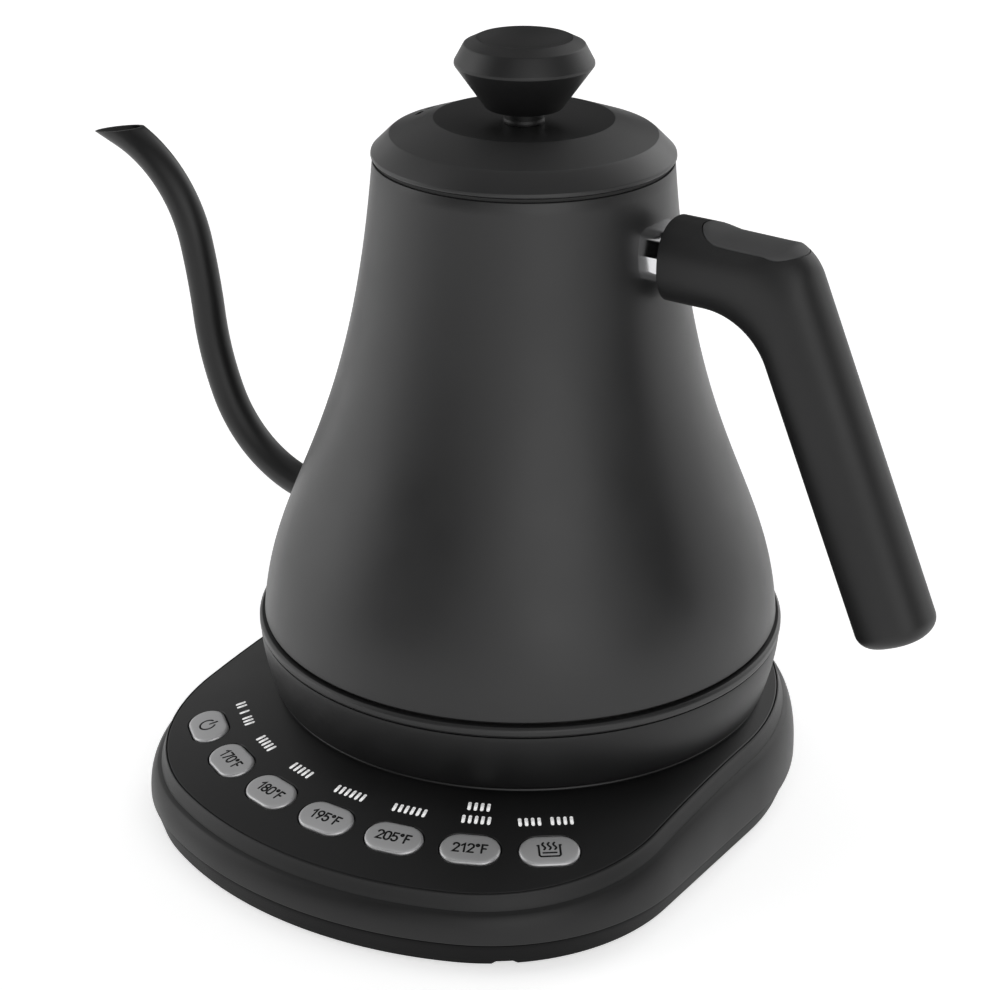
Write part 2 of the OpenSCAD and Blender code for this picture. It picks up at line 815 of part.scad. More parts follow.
module lid_liner() {
    color("#b9bcc0")
    translate([0, 0, lid_z]) difference() {
        rotate_extrude() polygon([
            [3, 1.2], [20, 1.2], [31.2, 0.2], [31.2, -liner_drop + 2], [32, -liner_drop + 1.6],
            [36.2, -liner_drop + 1.6], [36.2, -4.8], [33, -4.8], [33, 1], [31.2, 1.8], [20, 2.4],
            [3, 2.4]
        ]);
        for (a = [0:30:330]) rotate([0, 0, a]) translate([26, 0, 0]) cylinder(r = 1.3, h = 4);
    }
}

knob_z = lid_z + 12.3;

module knob_stem() {
    color("#242426")
    translate([0, 0, lid_z + 8.5]) difference() {
        cylinder(r = 5.2, h = knob_z - lid_z - 8.5 - 0.02);
        translate([0, 0, -1]) cylinder(r = 2.1, h = 8);
    }
}

module lid_knob() {
    color("#333335")
    translate([0, 0, knob_z]) rotate_extrude() polygon([
        [2.1, 0], [9.5, 0], [9.9, 0.3], [17.3, 10.7], [17.5, 11.1], [17.4, 11.6], [15.4, 15.4],
        [14.6, 16.2], [11.9, 17.4], [11.6, 17.5], [11.2, 17.3], [10.2, 16.3], [8, 15.7], [4, 15.4],
        [0, 15.3], [0, 8], [2.1, 8]
    ]);
}

module knob_screw() {
    color("#8e8f92")
    translate([0, 0, lid_z + 2.5]) difference() {
        union() {
            cylinder(r = 4, h = 2.4);
            cylinder(r = 2, h = knob_z - lid_z - 2.5 + 7.5);
        }
        for (b = [0, 90]) rotate([0, 0, b]) translate([-2.4, -0.4, -1]) cube([4.8, 0.8, 2]);
    }
}

module knob_washer() {
    color("#a0a2a5")
    translate([0, 0, lid_z + 4.95]) difference() {
        cylinder(r = 6.5, h = 2.2);
        translate([0, 0, -1]) cylinder(r = 2.1, h = 5);
    }
}

base_housing();
control_panel();
bottom_cover();
base_feet();
base_screws();
screw_bosses();
button_power();
button_temp_1();
button_temp_2();
button_temp_3();
button_temp_4();
button_temp_5();
button_hold();
control_board();
board_posts();
tact_switches();
indicator_leds();
driver_chips();
buzzer();
power_board();
power_relay();
power_capacitor();
power_transformer();
terminal_block();
cord_gland();
base_connector();
connector_contacts();
coupler_socket();
socket_contacts();
kettle_body();
trim_ring();
bottom_skirt();
heater_plate();
heater_spreader();
heating_element();
bottom_gasket();
thermal_cutout();
temperature_sensor();
skirt_screws();
skirt_posts();
gooseneck_spout();
handle_bracket();
handle_grip();
thumb_rest();
lid_cover();
lid_seal();
lid_liner();
knob_stem();
lid_knob();
knob_screw();
knob_washer();
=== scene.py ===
# Looks of the gooseneck electric kettle on its powered base.
# Shapes are worked out in millimetres in the part's own frame and scaled to metres.
import math

import bmesh
import bpy
from mathutils import Matrix, Vector
from mathutils.bvhtree import BVHTree


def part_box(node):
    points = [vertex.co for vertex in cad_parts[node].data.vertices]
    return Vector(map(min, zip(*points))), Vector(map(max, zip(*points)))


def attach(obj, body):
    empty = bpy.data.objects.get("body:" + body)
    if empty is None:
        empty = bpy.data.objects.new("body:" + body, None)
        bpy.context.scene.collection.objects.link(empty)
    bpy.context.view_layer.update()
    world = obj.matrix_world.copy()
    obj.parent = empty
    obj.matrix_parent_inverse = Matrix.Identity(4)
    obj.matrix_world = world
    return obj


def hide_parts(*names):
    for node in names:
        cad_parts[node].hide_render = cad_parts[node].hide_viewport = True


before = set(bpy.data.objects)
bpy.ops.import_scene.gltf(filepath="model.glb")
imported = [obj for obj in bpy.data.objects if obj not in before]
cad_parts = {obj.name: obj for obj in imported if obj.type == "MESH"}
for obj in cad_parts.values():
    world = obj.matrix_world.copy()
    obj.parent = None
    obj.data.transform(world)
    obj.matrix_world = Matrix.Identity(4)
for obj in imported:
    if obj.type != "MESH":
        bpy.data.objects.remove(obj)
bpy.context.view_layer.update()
MM = 0.001


def low(node, axis):
    """Lowest coordinate of a CAD node along an axis, in millimetres."""
    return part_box(node)[0][axis] / MM


def high(node, axis):
    """Highest coordinate of a CAD node along an axis, in millimetres."""
    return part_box(node)[1][axis] / MM


# ---------------------------------------------------------------- mesh helpers


def add_object(name, verts, faces, smooth_angle=32):
    """A mesh object from points in millimetres, smooth except at sharp edges."""
    mesh = bpy.data.meshes.new(name)
    mesh.from_pydata([Vector(v) * MM for v in verts], [], faces)
    bm = bmesh.new()
    bm.from_mesh(mesh)
    bmesh.ops.recalc_face_normals(bm, faces=bm.faces)
    bm.to_mesh(mesh)
    bm.free()
    obj = bpy.data.objects.new(name, mesh)
    bpy.context.scene.collection.objects.link(obj)
    soften(obj, smooth_angle)
    return obj


def soften(obj, smooth_angle):
    for polygon in obj.data.polygons:
        polygon.use_smooth = True
    obj.data.set_sharp_from_angle(angle=math.radians(smooth_angle))


def declare(obj, body, slot, material, *replaced):
    """Material, body and the CAD nodes a piece stands for; the finish slot argument is not used."""
    obj.data.materials.clear()
    obj.data.materials.append(material)
    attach(obj, body)
    if replaced:
        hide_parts(*replaced)
    return obj


def ring_faces(ring_count, n, closed):
    """Quads between successive rings of n points; closed joins the last ring to the first."""
    faces = []
    for k in range(ring_count if closed else ring_count - 1):
        a0, b0 = k * n, ((k + 1) % ring_count) * n
        for i in range(n):
            j = (i + 1) % n
            faces.append((a0 + i, a0 + j, b0 + j, b0 + i))
    return faces


def loft(name, rings, closed=False, smooth_angle=32):
    """Skin over rings of equal length: a closed tube, or a stack with capped ends."""
    n = len(rings[0])
    verts = [p for ring in rings for p in ring]
    faces = ring_faces(len(rings), n, closed)
    if not closed:
        faces.append(tuple(range(n)))
        faces.append(tuple(range(len(verts) - n, len(verts))))
    return add_object(name, verts, faces, smooth_angle)


def rounded(points, radius, steps=5):
    """Closed profile with each corner replaced by an arc; radius is a number or one per corner."""
    out = []
    n = len(points)
    for i, point in enumerate(points):
        r = radius[i] if isinstance(radius, (list, tuple)) else radius
        p = Vector(point)
        a, b = Vector(points[i - 1]) - p, Vector(points[(i + 1) % n]) - p
        angle = a.angle(b)
        if r <= 0 or angle > math.radians(172):
            out.append(tuple(p))
            continue
        reach = min(r / math.tan(angle / 2), 0.45 * a.length, 0.45 * b.length)
        start, end = p + a.normalized() * reach, p + b.normalized() * reach
        for k in range(steps + 1):
            t = k / steps
            out.append(tuple(start * (1 - t) ** 2 + p * 2 * t * (1 - t) + end * t * t))
    return out


def lathe(name, profile, steps=192, smooth_angle=32):
    """Closed profile of (radius, height) turned about Z; points on the axis become poles."""
    verts, index, faces = [], [], []
    for r, z in profile:
        if r < 1e-4:
            index.append([len(verts)] * steps)
            verts.append((0, 0, z))
            continue
        index.append(list(range(len(verts), len(verts) + steps)))
        for s in range(steps):
            a = 2 * math.pi * s / steps
            verts.append((r * math.cos(a), r * math.sin(a), z))
    for k, ring in enumerate(index):
        other = index[(k + 1) % len(index)]
        if ring[0] == ring[1] and other[0] == other[1]:
            continue
        for s in range(steps):
            t = (s + 1) % steps
            corners = [ring[s], ring[t], other[t], other[s]]
            face = tuple(dict.fromkeys(corners))
            if len(face) >= 3:
                faces.append(face)
    return add_object(name, verts, faces, smooth_angle)


def placed(outline, z, place):
    """The points of a flat outline at height z of a frame."""
    return [tuple(place @ Vector((x, y, z))) for x, y in outline]


def round_outline(radius, steps):
    angles = [2 * math.pi * k / steps for k in range(steps)]
    return [(radius * math.cos(a), radius * math.sin(a)) for a in angles]


def stadium(length, width, inset=0.0, steps=14):
    """Outline of a stadium whose long axis is X, set in from its edge."""
    half, r = (length - width) / 2, width / 2 - inset
    out = []
    for side in (1, -1):
        for k in range(steps + 1):
            a = side * math.pi / 2 - math.pi * k / steps
            out.append((side * half + r * math.cos(a), r * math.sin(a)))
    return out


def prism(name, outline, bottom, top, place):
    return loft(name, [placed(outline, z, place) for z in (bottom, top)])


def frame_of(x, y, z, origin):
    """Matrix of the frame with these axes and origin."""
    place = Matrix((x, y, z)).transposed().to_4x4()
    place.translation = origin
    return place


def cut(obj, cutter, smooth_angle=32):
    """Subtracts cutter from obj and deletes cutter."""
    modifier = obj.modifiers.new("cut", "BOOLEAN")
    modifier.operation = "DIFFERENCE"
    modifier.solver = "EXACT"
    modifier.object = cutter
    bake(obj)
    bpy.data.objects.remove(cutter)
    soften(obj, smooth_angle)


def set_normals(obj, wanted, angle=14):
    """Points the corners of faces that lie near a known surface along that surface's normal."""
    mesh = obj.data
    normals = []
    limit = math.cos(math.radians(angle))
    for polygon in mesh.polygons:
        for index in polygon.loop_indices:
            normal = mesh.corner_normals[index].vector.copy()
            right = wanted(mesh.vertices[mesh.loops[index].vertex_index].co / MM)
            if right is not None and polygon.normal.dot(right) > limit:
                normal = right
            normals.append(normal)
    mesh.normals_split_custom_set(normals)


def turned_normals(obj, profile, smooth_angle=32):
    """Gives a turned piece that was cut the smooth normals of its uncut profile again."""
    points = [Vector(p) for p in profile]
    count = len(points)
    flats = []
    for i in range(count):
        along = (points[(i + 1) % count] - points[i]).normalized()
        flats.append(Vector((along.y, -along.x)))
    if sum(points[i].cross(points[(i + 1) % count]) for i in range(count)) < 0:
        flats = [-n for n in flats]
    limit = math.cos(math.radians(smooth_angle))
    ends = []
    for i in range(count):
        before, here, after = flats[i - 1], flats[i], flats[(i + 1) % count]
        first = (before + here).normalized() if before.dot(here) > limit else here
        last = (after + here).normalized() if after.dot(here) > limit else here
        ends.append((first, last))
    mesh = obj.data
    normals = []
    for polygon in mesh.polygons:
        centre = polygon.center / MM
        spot = Vector((centre.xy.length, centre.z))
        facing = Vector((polygon.normal.xy.dot(centre.xy.normalized()), polygon.normal.z))
        best, best_gap = None, 0.05
        for i in range(count):
            a, b = points[i], points[(i + 1) % count]
            if facing.dot(flats[i]) < 0.985 or (b - a).length < 1e-6:
                continue
            t = min(1, max(0, (spot - a).dot(b - a) / (b - a).length_squared))
            gap = (a + (b - a) * t - spot).length
            if gap < best_gap:
                best, best_gap = i, gap
        for index in polygon.loop_indices:
            if best is None:
                normals.append(mesh.corner_normals[index].vector.copy())
                continue
            co = mesh.vertices[mesh.loops[index].vertex_index].co / MM
            a, b = points[best], points[(best + 1) % count]
            t = (Vector((co.xy.length, co.z)) - a).dot(b - a) / (b - a).length_squared
            t = min(1, max(0, t))
            flat = (ends[best][0] * (1 - t) + ends[best][1] * t).normalized()
            out = co.xy.normalized() * flat.x
            normals.append(Vector((out.x, out.y, flat.y)))
    mesh.normals_split_custom_set(normals)


def bake(obj):
    """Replaces obj's mesh by its evaluated mesh and drops its modifiers."""
    bpy.context.view_layer.update()
    evaluated = obj.evaluated_get(bpy.context.evaluated_depsgraph_get())
    mesh = bpy.data.meshes.new_from_object(evaluated)
    obj.modifiers.clear()
    obj.data = mesh


# ---------------------------------------------------------------- materials


def new_material(name):
    material = bpy.data.materials.new(name)
    material.use_nodes = True
    nodes, links = material.node_tree.nodes, material.node_tree.links
    shader = next(node for node in nodes if node.type == "BSDF_PRINCIPLED")
    return material, nodes, links, shader


def noise(nodes, links, scale, detail, coordinates):
    node = nodes.new("ShaderNodeTexNoise")
    node.inputs["Scale"].default_value = scale
    node.inputs["Detail"].default_value = detail
    links.new(coordinates, node.inputs["Vector"])
    return node.outputs["Fac"]


def spread(nodes, links, value, lowest, highest):
    """Maps a noise value, mostly between 0.3 and 0.7, to a range."""
    node = nodes.new("ShaderNodeMapRange")
    node.inputs["From Min"].default_value = 0.3
    node.inputs["From Max"].default_value = 0.7
    node.inputs["To Min"].default_value = lowest
    node.inputs["To Max"].default_value = highest
    links.new(value, node.inputs["Value"])
    return node.outputs["Result"]


def tinted(nodes, links, factor, first, second):
    node = nodes.new("ShaderNodeMix")
    node.data_type = "RGBA"
    node.inputs["A"].default_value = (*first, 1)
    node.inputs["B"].default_value = (*second, 1)
    links.new(factor, node.inputs["Factor"])
    return node.outputs["Result"]


def surface(name, colour, roughness, grain=9000, bump=0.02, metallic=0.0, specular=0.5,
            spread_of_tone=0.12, spread_of_gloss=0.04, stretch=None, painted_edge_highlight=0.0):
    """Fine-grained surface: tone and gloss that drift slightly, grain in the bump, and a painted
    highlight that pales sharp edges.
    """
    material, nodes, links, shader = new_material(name)
    place = nodes.new("ShaderNodeTexCoord").outputs["Object"]
    if stretch:
        mapping = nodes.new("ShaderNodeMapping")
        mapping.inputs["Scale"].default_value = stretch
        links.new(place, mapping.inputs["Vector"])
        place = mapping.outputs["Vector"]
    drift = noise(nodes, links, 38, 3, place)
    fine = noise(nodes, links, grain, 2, place)
    dark = [c * (1 - spread_of_tone) for c in colour]
    pale = [min(1, c * (1 + spread_of_tone)) for c in colour]
    tone = tinted(nodes, links, spread(nodes, links, drift, 0, 1), dark, pale)
    # Painted highlight: the colour pales on sharp edges, standing in for the light that catches them.
    if painted_edge_highlight:
        pointy = nodes.new("ShaderNodeNewGeometry").outputs["Pointiness"]
        edge = nodes.new("ShaderNodeMapRange")
        edge.inputs["From Min"].default_value = 0.53
        edge.inputs["From Max"].default_value = 0.6
        edge.inputs["To Max"].default_value = painted_edge_highlight
        links.new(pointy, edge.inputs["Value"])
        node = nodes.new("ShaderNodeMix")
        node.data_type = "RGBA"
        node.inputs["B"].default_value = (*[min(1, c * 3 + 0.02) for c in colour], 1)
        links.new(edge.outputs["Result"], node.inputs["Factor"])
        links.new(tone, node.inputs["A"])
        tone = node.outputs["Result"]
    links.new(tone, shader.inputs["Base Color"])
    gloss = spread(nodes, links, drift, roughness - spread_of_gloss, roughness + spread_of_gloss)
    links.new(gloss, shader.inputs["Roughness"])
    shader.inputs["Metallic"].default_value = metallic
    shader.inputs["Specular IOR Level"].default_value = specular
    relief = nodes.new("ShaderNodeBump")
    relief.inputs["Strength"].default_value = 1.0
    relief.inputs["Distance"].default_value = bump * MM
    links.new(fine, relief.inputs["Height"])
    links.new(relief.outputs["Normal"], shader.inputs["Normal"])
    return material


def glow(material, strength):
    """Even light given off by a surface."""
    shader = next(n for n in material.node_tree.nodes if n.type == "BSDF_PRINCIPLED")
    shader.inputs["Emission Color"].default_value = (1, 1, 1, 1)
    shader.inputs["Emission Strength"].default_value = strength


BLACK_COAT = surface("black_coat", (0.0075, 0.0075, 0.0077), 0.42, bump=0.014, specular=0.56)
LID_COAT = surface("lid_coat", (0.008, 0.008, 0.0082), 0.42, bump=0.014, specular=0.58)
SPOUT_COAT = surface("spout_coat", (0.006, 0.006, 0.0062), 0.42, bump=0.012, specular=0.42)
SKIRT_PLASTIC = surface("skirt_plastic", (0.005, 0.005, 0.0052), 0.46, 7000, 0.018, specular=0.40)
BASE_PLASTIC = surface("base_plastic", (0.006, 0.006, 0.0062), 0.46, 7000, 0.018, specular=0.37)
PANEL_FILM = surface("panel_film", (0.006, 0.006, 0.0062), 0.40, 12000, 0.006, specular=0.44)
# Black plastic of the tray, with colour and gloss set lower than the housing's as painted shade under
# the base.
COVER_PLASTIC = surface("cover_plastic", (0.004, 0.004, 0.0042), 0.5, 5000, 0.03, specular=0.09)
GRIP_PLASTIC = surface("grip_plastic", (0.006, 0.006, 0.0062), 0.46, 7000, 0.02, specular=0.44)
REST_PLASTIC = surface("rest_plastic", (0.052, 0.052, 0.053), 0.6, 6000, 0.03)
KNOB_PLASTIC = surface("knob_plastic", (0.006, 0.006, 0.0062), 0.45, 7000, 0.018, specular=0.48)
RUBBER = surface("rubber", (0.012, 0.012, 0.012), 0.75, 4000, 0.05)
# The buttons' pale rims are a painted highlight on their edges.
SILVER = surface("button_silver", (0.56, 0.56, 0.565), 0.38, 14000, 0.004, metallic=0.55,
                 spread_of_tone=0.05, painted_edge_highlight=0.3)
POLISHED = surface("polished_steel", (0.68, 0.68, 0.69), 0.10, 3000, 0.002, metallic=1.0,
                   spread_of_tone=0.03, spread_of_gloss=0.03)
BRUSHED = surface("brushed_steel", (0.50, 0.50, 0.51), 0.34, 900, 0.01, metallic=1.0,
                  stretch=(1, 1, 14))
ALUMINIUM = surface("aluminium", (0.68, 0.69, 0.70), 0.42, 1200, 0.01, metallic=1.0)
ZINC = surface("zinc", (0.52, 0.53, 0.55), 0.4, 4000, 0.01, metallic=1.0)
BRASS = surface("brass", (0.62, 0.45, 0.18), 0.32, 3000, 0.01, metallic=1.0)
MOULDED = surface("moulded_grey", (0.06, 0.06, 0.065), 0.55, 5000, 0.03)
BOARD = surface("board_green", (0.015, 0.10, 0.04), 0.35, 2500, 0.02)
RESIN = surface("chip_resin", (0.025, 0.025, 0.027), 0.5, 6000, 0.02)
LED_RESIN = surface("led_resin", (0.75, 0.78, 0.82), 0.25, 3000, 0.005)
BLUE = surface("blue_case", (0.03, 0.09, 0.28), 0.35, 3000, 0.01)
AMBER = surface("amber_tape", (0.58, 0.36, 0.04), 0.4, 2500, 0.02)
GREEN = surface("green_block", (0.05, 0.27, 0.08), 0.5, 4000, 0.02)
SILICONE = surface("silicone", (0.62, 0.60, 0.56), 0.6, 3000, 0.02)
DARK_PRINT = surface("dark_print", (0.004, 0.004, 0.004), 0.5, 8000, 0.004, specular=0.2)
PALE_PRINT = surface("pale_print", (0.94, 0.94, 0.94), 0.5, 8000, 0.004, spread_of_tone=0.02)
# The pale print glows a little: painted light, making it brighter than the lamps alone would.
glow(PALE_PRINT, 0.3)

NODE_MATERIALS = {
    "base_feet": RUBBER, "base_screws": ZINC, "screw_bosses": MOULDED, "control_board": BOARD,
    "board_posts": MOULDED, "tact_switches": ZINC, "indicator_leds": LED_RESIN,
    "driver_chips": RESIN, "buzzer": RESIN, "power_board": BOARD, "power_relay": BLUE,
    "power_capacitor": BLUE, "power_transformer": AMBER, "terminal_block": GREEN,
    "cord_gland": RUBBER, "base_connector": COVER_PLASTIC, "connector_contacts": BRASS,
    "coupler_socket": COVER_PLASTIC, "socket_contacts": BRASS, "heater_plate": BRUSHED,
    "heater_spreader": ALUMINIUM, "heating_element": BRUSHED, "bottom_gasket": SILICONE,
    "thermal_cutout": RESIN, "temperature_sensor": BRUSHED, "skirt_screws": ZINC,
    "skirt_posts": MOULDED, "lid_seal": RUBBER, "lid_liner": BRUSHED, "knob_screw": ZINC,
    "knob_washer": ZINC,
}


def dress_nodes():
    """Gives the CAD nodes that stay in view their materials."""
    for name, material in NODE_MATERIALS.items():
        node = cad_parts[name]
        node.data.materials.clear()
        node.data.materials.append(material)
        soften(node, 30)


# ---------------------------------------------------------------- kettle body

BODY_R = high("kettle_body", 0)
BODY_Z = low("kettle_body", 2)
RIM_Z = high("kettle_body", 2)
RIM_R = BODY_R * 0.5522
BODY_H = RIM_Z - BODY_Z - 0.25
BODY_CURVE = [(BODY_R, 0), (BODY_R * 0.9623, BODY_H * 0.2879), (BODY_R * 0.6522, BODY_H * 0.3682),
              (RIM_R, BODY_H)]
BODY_WALL = 0.8


def bezier(points, t):
    s = 1 - t
    weights = (s * s * s, 3 * s * s * t, 3 * s * t * t, t * t * t)
    return [sum(w * p[k] for w, p in zip(weights, points)) for k in (0, 1)]


def body_outline(inset, steps=72):
    """Points up the body's side, set in from its surface."""
    out = []
    for i in range(1, steps + 1):
        t = i / steps
        a, b = bezier(BODY_CURVE, t - 1e-3), bezier(BODY_CURVE, min(1, t + 1e-3))
        tangent = Vector((b[0] - a[0], b[1] - a[1])).normalized()
        r, z = bezier(BODY_CURVE, t)
        out.append((r - tangent.y * inset, BODY_Z + z + tangent.x * inset))
    return out


def make_body():
    """Spun steel shell with a turned-in foot and a rounded rim."""
    foot = [(BODY_R - 1.4, BODY_Z + 0.9), (BODY_R - 1.4, BODY_Z + 0.05), (BODY_R - 0.75, BODY_Z + 0.02),
            (BODY_R - 0.3, BODY_Z + 0.25), (BODY_R - 0.06, BODY_Z + 0.7)]
    rim = [(RIM_R - 0.12, RIM_Z - 0.08), (RIM_R - 0.4, RIM_Z), (RIM_R - 0.68, RIM_Z - 0.08)]
    profile = foot + body_outline(0) + rim + body_outline(BODY_WALL)[::-1]
    body = lathe("body_shell", profile, 256)
    declare(body, "kettle", "painted_steel", BLACK_COAT, "kettle_body")


def make_trim():
    r, z = high("trim_ring", 0) - 1.4, BODY_Z
    bead = rounded(
        [(r - 1.6, z - 0.3), (r + 0.7, z - 0.35), (r + 1.4, z - 1.0), (r + 1.4, z - 2.4),
         (r + 1.15, z - 2.95), (r - 1.6, z - 2.95)], [0.1, 0.4, 0.9, 0.7, 0.3, 0.1])
    declare(lathe("trim_bead", bead, 256), "kettle", "painted_steel", BLACK_COAT, "trim_ring")


def make_skirt():
    top, bottom = high("bottom_skirt", 2), low("bottom_skirt", 2)
    r = BODY_R
    side = [bezier([(r + 1.2, top), (r + 1.1, 39), (r - 0.6, 33), (67, bottom)], i / 24)
            for i in range(25)]
    side[0] = (side[0][0] - 0.35, top)
    side.insert(1, (r + 1.12, top - 0.12))
    side[-1] = (66.7, bottom)
    side.insert(-1, (66.95, bottom + 0.25))
    hole_r = 23.3
    inside = [(65.6, bottom), (65, bottom + 1), (hole_r, bottom + 1), (hole_r, bottom + 3),
              (65, bottom + 3), (66.8, 36), (67.8, 42), (67.8, top)]
    skirt = lathe("bottom_skirt_shell", side + inside, 256)
    declare(skirt, "kettle", "black_paint", SKIRT_PLASTIC, "bottom_skirt")


# ---------------------------------------------------------------- spout

SPOUT_R = 4.6
SPOUT_WALL = 0.7
SPOUT_ROOT = (-65.9, 63.0)
BENDS = [(37.4, 67.3), (82.2, 16.1), (183.0, -6.6), (39.0, -56.6)]
TIP_LIP = (-147.8, 155.0)
TIP_TAIL = 22
TIP_CUT = math.radians(11.3)


def spout_path():
    """Centre line as (x, z, heading, length so far), with a point about every 1.4 mm."""
    x, z = SPOUT_ROOT
    heading, length = 0.0, 0.0
    out = [(x, z, heading, length)]
    for radius, turn in BENDS:
        total = math.radians(turn)
        q = math.copysign(radius, total)
        cx, cz = x + q * math.sin(heading), z + q * math.cos(heading)
        steps = max(4, round(radius * abs(total) / 1.4))
        for k in range(1, steps + 1):
            a = heading + total * k / steps
            out.append((cx - q * math.sin(a), cz - q * math.cos(a), a,
                        length + radius * abs(total) * k / steps))
        x, z, heading, length = out[-1]
    return out


def spout_rings(radius, path, flare, around=64):
    rings = []
    for x, z, heading, length in path:
        r = radius + flare * math.exp(-(length / 2.1) ** 1.4)
        rings.append([(x + r * math.cos(a) * math.sin(heading), r * math.sin(a),
                       z + r * math.cos(a) * math.cos(heading))
                      for a in (2 * math.pi * k / around for k in range(around))])
    return rings


def make_spout():
    """Bent tube with a weld flare at its root, cut off at the tip."""
    path = spout_path()
    x, z, heading, length = path[-1]
    for k in range(1, TIP_TAIL + 1):
        path.append((x - k * math.cos(heading), z + k * math.sin(heading), heading, length + k))
    outer = spout_rings(SPOUT_R, path, 2.6)
    inner = spout_rings(SPOUT_R - SPOUT_WALL, path, 0)
    spout = loft("gooseneck_tube", outer + inner[::-1], closed=True, smooth_angle=40)
    place = Matrix.Translation((TIP_LIP[0], 0, TIP_LIP[1])) @ Matrix.Rotation(-TIP_CUT, 4, "Y")
    cut(spout, prism("tip_cut", [(-20, -10), (45, -10), (45, 10), (-20, 10)], 0, 30, place), 40)
    declare(spout, "kettle", "painted_steel", SPOUT_COAT, "gooseneck_spout")


# ---------------------------------------------------------------- handle

GRIP_W, GRIP_D = 9.4, 10.6
GRIP_THIN = 0.55
COLLAR = Vector((44.6, 154.0))
ARM_FALL = math.radians(0.3)
LEAN = math.radians(23.8)
ARM_L, GRIP_L = 29.2, 93.2
BEND_IN, BEND_OUT = 20.0, 12.1
COLLAR_EDGE, END_ROUND = 0.25, 4.4
SECTION_POWER = 2.3
SECTION_N = 96
SCOOP_X, SCOOP_L, SCOOP_DEPTH = 53.8, 8.5, 1.2
SCOOP_W, SCOOP_FADE = 8.4, 3.4

ARM_DIR = Vector((math.cos(ARM_FALL), -math.sin(ARM_FALL)))
ARM_UP = Vector((math.sin(ARM_FALL), math.cos(ARM_FALL)))
GRIP_DIR = Vector((math.sin(LEAN), -math.cos(LEAN)))
GRIP_OUT = Vector((math.cos(LEAN), math.sin(LEAN)))
ELBOW = COLLAR + ARM_DIR * ARM_L
TURN_COS = ARM_UP.dot(GRIP_OUT)


def crown(y):
    """Height of the straight arm's top above its axis, y off its middle."""
    return GRIP_D * max(0, 1 - abs(y / GRIP_W) ** SECTION_POWER) ** (1 / SECTION_POWER)


def scoop(x, y):
    """Depth of the thumb's scoop in the arm's top."""
    side = min(1, max(0, (SCOOP_W - abs(y)) / SCOOP_FADE))
    along = min(1, max(0, (x - SCOOP_X - y * y / 12) / SCOOP_L))
    return SCOOP_DEPTH * side * side * (3 - 2 * side) * math.sin(math.pi / 2 * along)


def scooped(ring):
    """Lowers the points of a section to the scoop; it runs level until the elbow falls below it."""
    return [(x, y, min(z, COLLAR.y + crown(y) - scoop(x, y))) if x > SCOOP_X and z > COLLAR.y
            else (x, y, z) for x, y, z in ring]


def superellipse(centre, half, w):
    """Section across the handle: half is the vector from its middle to its outer edge."""
    out = []
    for k in range(SECTION_N):
        a = 2 * math.pi * k / SECTION_N
        c, s = math.cos(a), math.sin(a)
        cc = math.copysign(abs(c) ** (2 / SECTION_POWER), c)
        ss = math.copysign(abs(s) ** (2 / SECTION_POWER), s)
        out.append((centre.x + half.x * cc, w * ss, centre.y + half.y * cc))
    return out


def mitred(a, b):
    """Point a outside the arm's axis and b outside the grip's axis."""
    return ELBOW + (ARM_UP * (a - TURN_COS * b) + GRIP_OUT * (b - TURN_COS * a)) / (1 - TURN_COS ** 2)


def handle_line(d, radius):
    """Edge line of the grip at distance d outside its axis: arm, rounded elbow, grip."""
    past = d - math.copysign(GRIP_THIN, d)
    centre = mitred(d - radius, past - radius)
    first, last = math.pi / 2 - ARM_FALL, LEAN
    bend = [centre + radius * Vector((math.cos(a), math.sin(a)))
            for a in (first + (last - first) * i / 48 for i in range(49))]
    start = COLLAR + ARM_UP * d
    end = ELBOW + GRIP_OUT * past + GRIP_DIR * (GRIP_L - END_ROUND)
    arm = [start + (bend[0] - start) * i / 64 for i in range(64)]
    grip = [bend[-1] + (end - bend[-1]) * i / 24 for i in range(1, 25)]
    return arm + bend + grip


def grip_rings():
    outer = handle_line(GRIP_D, BEND_OUT)
    inner = handle_line(-GRIP_D, BEND_IN)
    rings = []
    for k in range(4):
        a = math.pi / 2 * k / 3
        inset = COLLAR_EDGE * (1 - math.sin(a))
        back = ARM_DIR * COLLAR_EDGE * (1 - math.cos(a))
        centre, half = (outer[0] + inner[0]) / 2, (outer[0] - inner[0]) / 2
        rings.append(superellipse(centre + back, half * (1 - inset / GRIP_D), GRIP_W - inset))
    for o, q in list(zip(outer, inner))[1:]:
        rings.append(scooped(superellipse((o + q) / 2, (o - q) / 2, GRIP_W)))
    centre, half = (outer[-1] + inner[-1]) / 2, (outer[-1] - inner[-1]) / 2
    for k in range(1, 13):
        a = math.pi / 2 * k / 12
        inset = END_ROUND * (1 - math.cos(a))
        rings.append(superellipse(centre + GRIP_DIR * END_ROUND * math.sin(a),
                                  half * (1 - inset / half.length), GRIP_W - inset))
    return rings


REST_X, REST_L, REST_W = 66.4, 27.3, 14.0
REST_DEPTH = 4.6
REST_GAP = 0.2
REST_INSETS = (0.5, 1, 1.6, 2.3, 3, 3.7, 4.4, 5.1, 5.8, 6.4, 6.8)
NECK_Z = 154.8
NECK_W, NECK_UP = 8.5, 6.9
NECK_OUTLINE = [(0, 6.9), (4.8, 6.8), (7.1, 5.6), (8.35, 0.9), (8.5, -3.2), (7.4, -5.4), (4.6, -6.6),
                (0, -6.7)]
NECK_ROUNDING = [0, 2.4, 2.4, 0.5, 2.5, 2.5, 3.0, 0]


def arm_frame():
    """Frame on the arm: x along the arm, z up from its axis, origin at the collar."""
    along, up = Vector((ARM_DIR.x, 0, ARM_DIR.y)), Vector((ARM_UP.x, 0, ARM_UP.y))
    return frame_of(along, Vector((0, 1, 0)), up, Vector((COLLAR.x, 0, COLLAR.y)))


